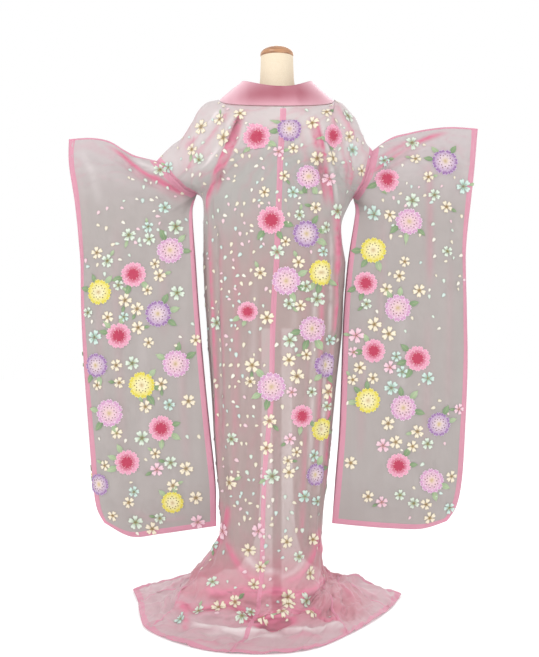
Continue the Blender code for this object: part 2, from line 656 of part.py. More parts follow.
def collar():
    """The collar band, standing round the neck and running down both fronts."""
    halves = []
    for side in (LEFT, RIGHT):
        seam, outward, free = collar_half(side)
        bands = [seam + (free - seam) * t + outward * COLLAR_ROLL * 4 * t * (1 - t)
                 for t in np.linspace(0, 1, COLLAR_BANDS)]
        halves.append((np.stack(bands, 1), outward))
    (left, left_out), (right, right_out) = halves
    grid = np.concatenate([left[::-1], right[1:]])
    outward = np.concatenate([left_out[::-1], right_out[1:]])
    normal = np.cross(np.gradient(grid, axis=0), np.gradient(grid, axis=1))
    normal /= np.linalg.norm(normal, axis=-1, keepdims=True)
    normal *= np.sign((normal[:, 0] * outward).sum())
    normal[:, 0] = outward
    wall("collar", grid, normal, COLLAR_WALL, COLLAR_PINK)


def dress_form():
    """The torso with its neck, the wooden cap, the pole and the base."""
    angles = np.linspace(0, 2 * math.pi, TORSO_SIDES, endpoint=False)
    rings = [
        np.stack([
            row.half_width * np.cos(angles),
            row.y + row.half_depth * np.sin(angles),
            np.full_like(angles, row.z),
        ], -1)
        for row in TORSO
    ]
    loft("form_torso", rings, LINEN)
    neck = TORSO[0].z + GAP
    turned("form_neck_cap", [
        (0.0, CAP_TOP), (0.018, CAP_TOP - 0.002), (0.034, CAP_TOP - 0.009),
        (0.044, CAP_TOP - 0.019), (CAP_RADIUS, neck + 0.003), (CAP_RADIUS - 0.001, neck),
        (0.0, neck),
    ], WOOD)
    turned("form_pole", [
        (0.0, TORSO[-1].z - GAP), (POLE_RADIUS, TORSO[-1].z - GAP),
        (POLE_RADIUS, BASE_TOP + GAP), (0.0, BASE_TOP + GAP),
    ], STEEL)
    turned("form_base", [
        (0.0, BASE_TOP), (0.030, BASE_TOP), (BASE_RADIUS - 0.006, BASE_EDGE + 0.001),
        (BASE_RADIUS, BASE_EDGE - 0.003), (BASE_RADIUS, 0.0), (0.0, 0.0),
    ], STEEL)


def turned(name, profile, finish):
    """A turned piece: its profile, from top to bottom, spun round the form's axis."""
    data = bpy.data.meshes.new(name)
    points = [(radius, 0.0, z) for radius, z in profile]
    data.from_pydata(points, [(k, k + 1) for k in range(len(points) - 1)], [])
    made = new_object(name, data, finish)
    spin = made.modifiers.new("spin", "SCREW")
    spin.axis = "Z"
    spin.steps = spin.render_steps = TORSO_SIDES
    spin.use_merge_vertices = True
    spin.merge_threshold = 0.0001
    return made


def garment():
    for side, word in ((LEFT, "left"), (RIGHT, "right")):
        body_panel(f"back_{word}", side, "back", centre_back, side_seam, 0, BACK_COLUMNS)
        body_panel(f"front_{word}", side, "front", side_seam, okumi_seam, 0, FRONT_COLUMNS)
        body_panel(f"okumi_{word}", side, "front", okumi_seam, front_edge, UNDER_ARM,
                   OKUMI_COLUMNS)
        for panel in ("back", "front"):
            name = f"sleeve_{word}_{panel}"
            wall(name, *sleeve_face(side, panel), WALL, ORGANZA)
    collar()


for old in list(bpy.data.objects):
    bpy.data.objects.remove(old)
PARTS = bpy.data.collections.new("uchikake_on_form")
bpy.context.scene.collection.children.link(PARTS)
garment()
dress_form()
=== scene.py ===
"""A sheer uchikake wedding kimono, embroidered with cherry blossom, hanging on a dress form.

Metres, +Z up. The kimono's back faces -Y, so the wearer's left is at -X. The garment's tables
measure X outward from the dress form's axis and Y from that axis; heights are over the floor.
"""

import logging
import math
from dataclasses import dataclass, field
from enum import Enum
from typing import Callable, NamedTuple, Sequence

import bpy
import numpy as np
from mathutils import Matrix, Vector

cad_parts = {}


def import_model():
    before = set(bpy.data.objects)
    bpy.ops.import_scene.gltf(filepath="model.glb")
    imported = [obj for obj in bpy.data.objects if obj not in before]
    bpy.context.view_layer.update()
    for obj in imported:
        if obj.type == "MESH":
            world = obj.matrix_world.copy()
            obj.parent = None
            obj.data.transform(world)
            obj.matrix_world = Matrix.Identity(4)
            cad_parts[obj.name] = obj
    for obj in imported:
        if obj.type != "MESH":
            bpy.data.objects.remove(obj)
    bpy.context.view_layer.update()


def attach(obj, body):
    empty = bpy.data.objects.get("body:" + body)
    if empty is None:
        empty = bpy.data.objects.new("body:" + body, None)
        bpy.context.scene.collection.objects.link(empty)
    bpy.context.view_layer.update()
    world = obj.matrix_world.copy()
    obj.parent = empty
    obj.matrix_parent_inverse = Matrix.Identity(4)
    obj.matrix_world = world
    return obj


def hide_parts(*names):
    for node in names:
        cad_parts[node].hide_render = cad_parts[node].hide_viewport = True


Array = np.ndarray
Pair = tuple[float, float]
Colour = tuple[float, float, float]
Cloth = bpy.types.Object
LOG = logging.getLogger("uchikake")

AXIS = np.array([0.0109, 0.1020, 0.0])  # the dress form's axis
SIDE_SEAM = 0.43  # share of a half's hem width that the back panel takes
OKUMI_SEAM = 0.78  # share taken by the back and front panels together
OKUMI_TIP = 0.993  # share at which the okumi's point starts, under the collar
ARMPIT, UNDER_ARM = 3, 4  # section numbers
TRAIN_START, LAST_SECTION = 11, 18
STEP_ACROSS, STEP_DOWN = 0.008, 0.12  # for slopes, as shares and as section numbers
PANEL_WALL = 0.0015  # the garment's walls, as its solids have them
SEAM_GAP = 0.0003
ORGANZA_PLY = 0.0004  # one ply of organza with its stiffening
COLLAR_PLY = 0.0022
PLACING_ROUNDS = 4  # rounds in which a stitch finds its place on the creased cloth
MOST_ACROSS, MOST_DOWN = 4, 2.5  # columns and rows that it moves in a round, at most
MOTIF_ROOM = 0.75  # share of its radius that a motif keeps from the cloth's edges
MOTIF_SPACING = 0.98  # least gap between two motifs, as a share of both radii
MOTIF_STRAY = 0.010  # how far its place may lie off the cloth
WAVE_SCALE = 0.314  # a wave texture's scale times its pitch


class Sign(Enum):
    """A choice of two that is also the sign of an axis."""

    @property
    def word(self) -> str:
        """Its name in piece names."""
        return self.name.lower()


class Side(Sign):
    """The wearer's sides, as signs of X."""

    LEFT = -1
    RIGHT = 1


class Face(Sign):
    """The garment's back and front, as signs of Y."""

    BACK = -1
    FRONT = 1


class Edge(Enum):
    """The edges of a panel's grid."""

    FIRST_COLUMN = "first column"
    LAST_COLUMN = "last column"
    TOP = "top"
    BOTTOM = "bottom"


def srgb(red: int, green: int, blue: int) -> Colour:
    """A colour from its 0 to 255 values, as linear light."""
    shares = (value / 255 for value in (red, green, blue))
    return tuple(c / 12.92 if c <= 0.04045 else ((c + 0.055) / 1.055) ** 2.4 for c in shares)


def ease(x: Array) -> Array:
    """Smooth step from 0 to 1."""
    x = np.clip(x, 0.0, 1.0)
    return x * x * (3.0 - 2.0 * x)


def mix(start: Array, end: Array, share: Array) -> Array:
    """What lies at a share of the way from one value to another."""
    return start + (end - start) * share


def swell(gap: Array, width: Array) -> Array:
    """A rounded ridge: 1 at its middle, fading over its half width."""
    return np.exp(-((gap / width) ** 2))


def unit(vectors: Array) -> Array:
    """Vectors at length 1."""
    return vectors / np.linalg.norm(vectors, axis=-1, keepdims=True)


def placed(points: Array, floor: bool) -> Array:
    """Points as the tables place them: by x and height, or on the floor by x and y."""
    return points[..., [0, 1]] if floor else points[..., [0, 2]]


def along(values: Sequence, place: Array) -> Array:
    """Reads a smooth curve through evenly numbered values at fractional numbers.

    Args:
        values: Numbers or points.
        place: Where to read, as fractional numbers.

    Returns:
        The values there.
    """
    values = np.asarray(values, float)
    place = np.asarray(place, float)
    last = len(values) - 1
    start = np.clip(np.floor(place).astype(int), 0, last - 1)
    t = (place - start).reshape(place.shape + (1,) * (values.ndim - 1))
    before = values[np.maximum(start - 1, 0)]
    here, there = values[start], values[start + 1]
    beyond = values[np.minimum(start + 2, last)]
    return here + 0.5 * t * (
        there - before
        + t * (2 * before - 5 * here + 4 * there - beyond
               + t * (3 * (here - there) + beyond - before))
    )


def column(rows: Sequence[NamedTuple], name: str, place: Array) -> Array:
    """Reads one named column of a table at fractional row numbers."""
    return along([getattr(row, name) for row in rows], place)


def polyline(points: Sequence, shares: Array) -> Array:
    """Reads a smooth curve through outline points.

    Args:
        points: The outline's points.
        shares: Where to read, as shares of its length.

    Returns:
        The points there.
    """
    points = np.asarray(points, float)
    lengths = np.linalg.norm(np.diff(points, axis=0), axis=1)
    run = np.concatenate([[0], np.cumsum(lengths)]) / lengths.sum()
    return along(points, np.interp(shares, run, range(len(points))))


def ridged(seed: int, a: Array, b: Array) -> Array:
    """Uneven sharp ridges, as crisp cloth makes when it crumples.

    Args:
        seed: Picks the pattern.
        a: Place across, one cell for each whole number.
        b: Place down, likewise.

    Returns:
        Heights from -1 in the troughs to 1 on the ridges.
    """
    cells = np.random.default_rng(seed).random((97, 89))
    i, j = np.floor(a).astype(int), np.floor(b).astype(int)
    u, v = ease(a - i), ease(b - j)
    corner = [cells[(i + di) % 97, (j + dj) % 89] for di in (0, 1) for dj in (0, 1)]
    value = mix(mix(corner[0], corner[1], v), mix(corner[2], corner[3], v), u)
    return 1.0 - 4.0 * np.abs(value - 0.5)


@dataclass(frozen=True)
class Rumple:
    """The fine uneven ridges of crisp silk on one cloth.

    Attributes:
        pattern: Picks the pattern, added to the cloth's own seed.
        across: Cells across for each step across and for each step down, and their start.
        down: Cells down for each step down and for each step across, and their start.
        height: How high they stand.
        tint: How much painted shade lies on their crests, with painted highlight in their troughs.
    """

    pattern: int
    across: tuple[float, float, float]
    down: tuple[float, float, float]
    height: float = 0.0
    tint: float = 0.0

    def over(self, seed: int, w: Array, v: Array) -> Array:
        """Spreads the ridges over a cloth.

        Args:
            seed: The cloth's seed.
            w: Places across it.
            v: Places down it.

        Returns:
            Their shape, from -1 to 1.
        """
        a = w * self.across[0] + v * self.across[1] + self.across[2]
        b = v * self.down[0] + w * self.down[1] + self.down[2]
        return ridged(seed + self.pattern, a, b)


class Section(NamedTuple):
    """A level section of the body: centre back, widest points, front edge, armhole, turn."""

    rows: int
    back_x: float
    back_y: float
    back_z: float
    left_out: float
    left_z: float
    right_out: float
    right_z: float
    front_out: float
    front_y: float
    front_z: float
    gape: float
    turn: float


class Spread(NamedTuple):
    """A line of the train: share of its spread and height, at the back, sides and front."""

    rows: int
    back: float
    back_z: float
    left: float
    left_z: float
    right: float
    right_z: float
    front: float
    front_z: float


class HemPoint(NamedTuple):
    """A point of the hem's line: share of the half's width, distance out, and y."""

    share: float
    out: float
    y: float


class Ridge(NamedTuple):
    """A point of the shoulder line."""

    out: float
    z: float


class Fold(NamedTuple):
    """A fold down the body: places at its top and bottom, sections, depth and half width."""

    top: float
    bottom: float
    first: float
    last: float
    depth: float
    width: float


class Crumple(NamedTuple):
    """Waves where the cloth breaks on the floor."""

    height: float
    across: float
    uneven: float
    down: float
    start: float


class CollarEdge(NamedTuple):
    """A point of the collar's free edge."""

    out: float
    y: float
    z: float


class Waist(NamedTuple):
    """A level section of the dress form's body."""

    z: float
    half_width: float
    half_depth: float
    y: float


class Outline(NamedTuple):
    """A sleeve's outline as it hangs, inner below the armhole."""

    top: tuple[Pair, ...]
    outer: tuple[Pair, ...]
    bottom: tuple[Pair, ...]
    inner: tuple[Pair, ...]


class Crease(NamedTuple):
    """A listed crease: depth, half width, tint, and points by x and height.

    On the floor the points are given by x and y. A trough has a negative depth. The tint is
    painted shade along the crease: a deeper pink where the silk is doubled, which turns to a
    painted shadow past 1, and a painted highlight where it is negative.
    """

    depth: float
    width: float
    tint: float
    path: tuple[Pair, ...]
    floor: bool


def table(kind: type, *rows: tuple) -> tuple:
    """Makes a table of one kind from plain rows of numbers."""
    return tuple(kind(*row) for row in rows)


def mm(*values: float) -> tuple[Pair, ...]:
    """Pairs of millimetres as points in metres."""
    metres = [value / 1000 for value in values]
    return tuple(zip(metres[::2], metres[1::2]))


def creases(*rows: tuple, floor: bool = False) -> tuple[Crease, ...]:
    """Makes creases from rows of depth, width, tint, and points in millimetres."""
    return tuple(Crease(*row[:3], mm(*row[3:]), floor) for row in rows)


def row_places(rows: Sequence[NamedTuple], finish: int = 1) -> list[float]:
    """Section numbers of rows of points that stand evenly between the sections.

    Args:
        rows: The sections, each with its number of rows.
        finish: Rows of points for each of these.

    Returns:
        The numbers.
    """
    return [index + k / (row.rows * finish)
            for index, row in enumerate(rows) for k in range(row.rows * finish)]


SECTIONS = tuple(
    Section(rows, *(size / 1000 for size in sizes), turn) for rows, *sizes, turn in (
        (4, 17, -118, 1408, 342, 1277, 271, 1306, 165, 0, 1449, 0, 55),  # neck
        (3, 15, -130, 1345, 300, 1236, 254, 1244, 150, 118, 1345, 26, 58),  # blade
        (3, 9, -136, 1270, 260, 1199, 232, 1196, 136, 140, 1270, 26, 66),  # scye
        (2, 6, -138, 1185, 213, 1172, 206, 1158, 128, 150, 1185, 0, 90),  # armpit
        (2, 2, -136, 1080, 206, 1080, 176, 1075, 114, 152, 1080, 0, 90),  # under arm
        (2, -2, -134, 980, 201, 980, 186, 985, 104, 148, 980, 0, 90),  # waist
        (2, -9, -136, 880, 196, 880, 180, 880, 48, 142, 880, 0, 90),  # hip
        (2, -13, -138, 790, 190, 790, 176, 790, 46, 140, 790, 0, 90),  # seat
        (2, -18, -138, 600, 177, 600, 156, 600, 45, 135, 600, 0, 90),  # thigh
        (2, -34, -138, 430, 165, 430, 141, 430, 46, 130, 430, 0, 90),  # knee
        (1, -40, -138, 300, 153, 300, 125, 300, 50, 130, 300, 0, 90),  # shin
        (0, -42, -140, 200, 150, 215, 118, 200, 56, 132, 200, 0, 90),  # ankle
    )
)
TRAIN = table(
    Spread,
    (2, 0.00, 0.200, 0.00, 0.215, 0.00, 0.200, 0.00, 0.200),  # ankle
    (2, 0.03, 0.125, 0.18, 0.165, 0.05, 0.130, 0.07, 0.125),  # break
    (1, 0.11, 0.080, 0.38, 0.118, 0.14, 0.095, 0.18, 0.085),  # lip
    (2, 0.15, 0.050, 0.50, 0.080, 0.22, 0.070, 0.28, 0.065),  # under lip
    (1, 0.33, 0.040, 0.63, 0.050, 0.40, 0.052, 0.46, 0.056),  # shelf
    (2, 0.41, 0.014, 0.71, 0.028, 0.52, 0.030, 0.62, 0.042),  # shelf edge
    (2, 0.66, 0.008, 0.84, 0.011, 0.76, 0.011, 0.84, 0.022),  # floor
    (0, 1.00, 0.003, 1.00, 0.003, 1.00, 0.003, 1.00, 0.003),  # hem
)
HEM = {
    Side.LEFT: table(
        HemPoint,
        (0.00, 0.118, -0.413), (0.12, 0.190, -0.380), (0.26, 0.275, -0.305), (0.43, 0.350, -0.200),
        (0.60, 0.380, -0.080), (0.80, 0.405, 0.070), (1.00, 0.437, 0.208),
    ),
    Side.RIGHT: table(
        HemPoint,
        (0.00, -0.118, -0.413), (0.15, 0.000, -0.415), (0.30, 0.100, -0.365),
        (0.43, 0.186, -0.252), (0.60, 0.262, -0.125), (0.80, 0.327, 0.010), (1.00, 0.372, 0.148),
    ),
}
SHOULDER = {
    Side.LEFT: table(
        Ridge,
        (0.165, 1.449), (0.198, 1.441), (0.222, 1.418), (0.240, 1.385), (0.268, 1.343),
        (0.300, 1.320), (0.342, 1.277),
    ),
    Side.RIGHT: table(
        Ridge,
        (0.162, 1.449), (0.185, 1.437), (0.207, 1.415), (0.226, 1.390), (0.240, 1.356),
        (0.254, 1.326), (0.271, 1.306),
    ),
}
FOLDS = {
    Side.LEFT: table(
        Fold,
        (0.10, 0.07, 3.4, 13.0, 0.005, 0.035), (0.20, 0.17, 3.0, 13.5, 0.007, 0.035),
        (0.31, 0.29, 2.6, 14.0, 0.009, 0.030), (0.39, 0.38, 3.0, 14.0, 0.008, 0.025),
        (0.54, 0.52, 3.4, 14.0, 0.009, 0.035), (0.67, 0.65, 3.6, 14.0, 0.008, 0.035),
        (0.86, 0.87, 7.4, 14.0, 0.006, 0.035),
    ),
    Side.RIGHT: table(
        Fold,
        (0.09, 0.10, 3.6, 13.0, 0.005, 0.035), (0.19, 0.18, 2.8, 13.6, 0.009, 0.025),
        (0.27, 0.25, 2.6, 13.0, 0.012, 0.025), (0.35, 0.32, 3.0, 13.2, 0.010, 0.025),
        (0.41, 0.39, 4.0, 13.4, 0.007, 0.025), (0.55, 0.53, 3.4, 14.0, 0.010, 0.035),
        (0.68, 0.66, 3.6, 14.0, 0.008, 0.035), (0.87, 0.86, 7.4, 14.0, 0.006, 0.035),
    ),
}
# the body's fine ridges, across by its shares and down by its section numbers
# the last number of a rumple is its tint: painted shade on the crests and painted highlight in the
# troughs
PLEATS = Rumple(0, (26, 0, 60), (0.9, 0, 7), 0.0013, 0.12)
FINE_PLEATS = Rumple(1, (61, 0, 90), (1.7, 0, 3), 0.0007)
PUCKERS = Rumple(2, (22, 1.3, 70), (3.1, 9, 30), 0.0018, 0.24)
BROKEN = Rumple(3, (17, 0.7, 50), (1.9, 0, 9), 0.0040, 0.22)
FINE_BROKEN = Rumple(4, (39, -0.9, 80), (3.7, 5, 9), 0.0020)
UNEVEN = Rumple(5, (9, 2.3, 40), (4.1, 0, 11))
# the sleeves', across by metres out and down by shares
SLEEVE_PLEATS = Rumple(0, (22, 0, 9), (5, 0, 3), 0.0016)
SLEEVE_FINE = Rumple(1, (51, 0, 9), (11, 8, 3), 0.0008)
SLEEVE_PUCKERS = Rumple(2, (17, 31, 9), (37, -9, 20), 0.0022, 0.16)
CRUMPLES = table(Crumple, (0.0070, 23, 2, 2.4, 0.0), (0.0042, 41, -3, 3.1, 1.0))
SLEEVE_OUTLINES = {
    Side.LEFT: Outline(
        top=mm(402, 1292, 436, 1309, 479, 1334, 530, 1343, 593, 1339),
        outer=mm(593, 1339, 592, 1270, 573, 1158, 559, 1020, 555, 860, 546, 700, 533, 530, 521,
                 380, 509, 295, 487, 252),
        bottom=mm(171, 246, 250, 234, 330, 222, 412, 214, 487, 252),
        inner=mm(237, 1150, 239, 1110, 230, 980, 220, 840, 206, 680, 190, 520, 174, 370, 171, 246),
    ),
    Side.RIGHT: Outline(
        top=mm(325, 1343, 375, 1357, 430, 1368, 496, 1374, 572, 1369),
        outer=mm(572, 1369, 563, 1280, 549, 1163, 536, 1040, 537, 860, 538, 700, 531, 530, 522,
                 380, 506, 300, 479, 257),
        bottom=mm(154, 254, 235, 245, 320, 238, 408, 236, 479, 257),
        inner=mm(222, 1140, 218, 1100, 200, 980, 188, 840, 182, 680, 176, 520, 164, 370, 154, 254),
    ),
}
# each crease's tint paints shade along it: a deeper pink, a painted shadow past 1, and a painted
# highlight where negative
BACK_CREASES = creases(
    # left lap
    (0.007, 0.0055, 1.75, -98, 1388, -108, 1366, -124, 1322, -140, 1290),
    (0.0065, 0.0065, 1.1, -124, 1330, -148, 1270, -168, 1220, -190, 1160, -196, 1110),
    (-0.007, 0.006, 0.75, -86, 1390, -100, 1356, -118, 1306, -150, 1232, -172, 1160),
    (0.0045, 0.005, -0.55, -112, 1394, -140, 1345, -168, 1290, -205, 1240),
    (0.005, 0.006, 0.45, -120, 1405, -150, 1372, -190, 1318, -240, 1275),
    (0.004, 0.006, -0.85, -150, 1410, -195, 1365, -245, 1325),
    (-0.004, 0.006, -0.4, -150, 1318, -180, 1272, -222, 1232),
    (-0.004, 0.007, 0.55, -175, 1395, -215, 1345, -262, 1300),
    (0.004, 0.005, 0.6, -200, 1300, -228, 1268, -250, 1240),
    # right lap
    (0.007, 0.0055, 1.05, 100, 1392, 114, 1330, 128, 1262, 142, 1190, 156, 1120),
    (-0.007, 0.007, 0.6, 88, 1390, 103, 1318, 118, 1238, 140, 1120),
    (0.0045, 0.0055, -0.42, 112, 1388, 126, 1330, 142, 1262, 158, 1190, 168, 1120),
    (0.005, 0.006, 0.45, 140, 1400, 162, 1340, 184, 1260, 190, 1190),
    (0.004, 0.007, 0.45, 160, 1420, 192, 1370, 218, 1320),
    (-0.004, 0.006, -0.4, 150, 1350, 172, 1280, 180, 1200),
    (-0.004, 0.006, -0.45, 180, 1350, 205, 1290, 215, 1230),
    (0.004, 0.006, 0.55, 196, 1300, 204, 1240, 196, 1180),
    # across the shoulders
    (0.003, 0.009, 0.15, 50, 1385, 72, 1300, 85, 1200, 90, 1080),
    (0.0025, 0.009, 0.12, -40, 1385, -52, 1310, -58, 1220),
    # down the right side
    (0.0055, 0.01, 1.1, 160, 1150, 166, 1080, 168, 1010, 162, 930),
    (0.0055, 0.006, 0.95, 162, 950, 162, 870, 154, 780),
    (-0.0055, 0.006, -0.6, 148, 1110, 151, 980, 148, 840, 144, 640),
    (0.0045, 0.006, 0.55, 112, 1080, 120, 900, 116, 700, 108, 480, 100, 330),
    (-0.0045, 0.007, -0.4, 96, 1060, 102, 880, 98, 680, 92, 480, 86, 300),
    (0.0055, 0.005, 1.05, 150, 820, 146, 700, 141, 560, 134, 440, 130, 330),
    (0.0045, 0.004, -0.6, 128, 720, 126, 600, 120, 460, 112, 330),
    (0.004, 0.006, 0.4, 76, 560, 74, 440, 68, 300, 64, 200),
    # down the left side
    (0.0045, 0.005, 0.85, -186, 1120, -182, 940, -172, 740, -166, 540, -160, 360),
    (-0.004, 0.006, -0.12, -168, 1130, -166, 940, -158, 740, -152, 520),
    (0.003, 0.005, 0.35, -156, 1090, -154, 900, -148, 700, -146, 420),
    (0.003, 0.009, 0.22, -120, 1150, -112, 950, -110, 720, -118, 480, -126, 300),
    (-0.0022, 0.01, -0.16, -60, 1020, -64, 820, -72, 600),
    (-0.0025, 0.009, -0.14, 44, 1000, 46, 800, 40, 560, 30, 300),
    (0.0022, 0.01, 0.14, -10, 700, -20, 500, -30, 280),
    # the break over the floor
    (0.008, 0.009, 1.25, -200, 98, -150, 86, -90, 94, -30, 80),
    (0.008, 0.009, 1.25, -60, 84, 0, 92, 60, 80, 120, 92, 170, 84),
    (0.005, 0.009, 0.75, -150, 240, -120, 180, -80, 130, -20, 112),
    (0.006, 0.009, 1.2, -130, 320, -150, 230, -190, 160),
    (0.005, 0.01, 0.6, -150, 330, -180, 260, -215, 190),
    (0.005, 0.009, 0.75, 120, 260, 100, 180, 60, 130, 10, 112),
    (0.005, 0.008, 0.85, 98, 240, 130, 160, 160, 110),
    (-0.004, 0.009, -0.4, -100, 200, -50, 150, 20, 140),
    (-0.004, 0.009, -0.35, 80, 180, 50, 140, 0, 125),
) + creases(
    # the train
    (-0.008, 0.013, 1.2, -260, -160, -190, -200, -120, -190, -40, -215, 30, -200),
    (-0.008, 0.013, 1.2, 10, -205, 80, -195, 140, -190, 200, -140),
    (-0.007, 0.012, 1.45, -100, -235, -20, -245, 60, -232),
    (0.008, 0.01, -0.75, -240, -220, -160, -255, -80, -265, 0, -275),
    (0.008, 0.01, -0.65, 0, -262, 70, -268, 130, -245, 190, -200),
    (0.006, 0.01, 0.75, -300, -100, -250, -170, -240, -250),
    (0.006, 0.01, 0.75, 220, -100, 210, -180, 160, -260),
    (-0.004, 0.014, -0.6, -200, -300, -120, -280, -40, -310, 20, -300),
    (0.005, 0.011, 0.4, 20, -330, 70, -290, 120, -310),
    (0.004, 0.01, 0.35, -260, -300, -160, -350, -50, -360),
    floor=True,
)
FRONT_CREASES = {
    Side.LEFT: creases(
        (0.004, 0.009, 0.25, -120, 1300, -132, 1200, -140, 1060),
        (0.0035, 0.008, 0.4, -150, 1180, -160, 960, -158, 700, -150, 420),
        (-0.004, 0.01, -0.2, -90, 1020, -100, 800, -98, 560, -104, 300),
        (0.0035, 0.007, 0.3, -60, 720, -66, 500, -74, 260),
    ) + creases(
        (0.007, 0.012, 0.5, -280, 20, -200, 60, -160, 140, -180, 220),
        (0.005, 0.01, 0.3, -340, 100, -260, 150, -220, 240),
        floor=True,
    ),
    Side.RIGHT: creases(
        (0.004, 0.009, 0.25, 118, 1290, 128, 1180, 134, 1050),
        (0.0035, 0.008, 0.4, 138, 1160, 142, 900, 138, 640, 124, 380),
        (-0.004, 0.01, -0.2, 86, 1000, 94, 780, 90, 520, 92, 280),
        (0.0035, 0.007, 0.3, 58, 740, 62, 480, 66, 260),
    ) + creases(
        (0.007, 0.012, 0.5, 240, -20, 180, 50, 150, 130, 180, 200),
        (0.005, 0.01, 0.3, 300, 40, 240, 100, 220, 180),
        floor=True,
    ),
}
SLEEVE_CREASES = {
    Side.LEFT: creases(
        (0.008, 0.006, 1.0, -500, 1325, -455, 1304, -390, 1250, -320, 1205, -240, 1165),
        (-0.006, 0.009, 0.22, -455, 1285, -390, 1232, -320, 1188, -250, 1150),
        (0.004, 0.007, -0.55, -420, 1292, -370, 1262, -310, 1240, -270, 1220),
        (-0.004, 0.006, -0.75, -350, 1270, -310, 1235, -262, 1200),
        (0.004, 0.006, 0.75, -360, 1238, -310, 1208, -258, 1176),
        (0.003, 0.012, -0.18, -560, 1310, -520, 1240, -500, 1140),
        (0.0035, 0.012, 0.08, -330, 1120, -320, 950, -315, 760),
        (0.003, 0.013, 0.08, -450, 1140, -452, 900, -440, 640, -430, 400),
        (-0.003, 0.014, -0.1, -380, 900, -376, 640, -360, 380),
        (0.0025, 0.011, 0.08, -505, 1000, -500, 780, -492, 560),
        (0.0028, 0.011, 0.1, -270, 820, -262, 600, -250, 400),
        (0.002, 0.008, 0.12, -420, 300, -340, 262, -240, 275),
    ),
    Side.RIGHT: creases(
        (0.008, 0.006, 0.95, 500, 1362, 411, 1334, 328, 1280, 243.5, 1225),
        (-0.006, 0.009, 0.2, 411, 1314, 330, 1262, 255, 1208),
        (0.004, 0.007, 0.45, 380, 1335, 330, 1305, 275, 1270),
        (-0.004, 0.006, -0.7, 270, 1290, 262, 1250, 240, 1200),
        (-0.004, 0.005, -0.6, 400, 1330, 345, 1290, 290, 1245),
        (0.0045, 0.01, 0.25, 420, 1300, 430, 1200, 430, 1080, 428, 900),
        (0.0035, 0.012, 0.08, 300, 1130, 292, 950, 286, 740),
        (0.0028, 0.013, 0.08, 424, 860, 420, 660, 410, 420),
        (-0.003, 0.014, -0.1, 355, 920, 350, 660, 340, 400),
        (0.0025, 0.011, 0.08, 488, 1020, 484, 800, 478, 560),
        (0.0028, 0.011, 0.1, 240, 840, 236, 620, 230, 420),
    ),
}


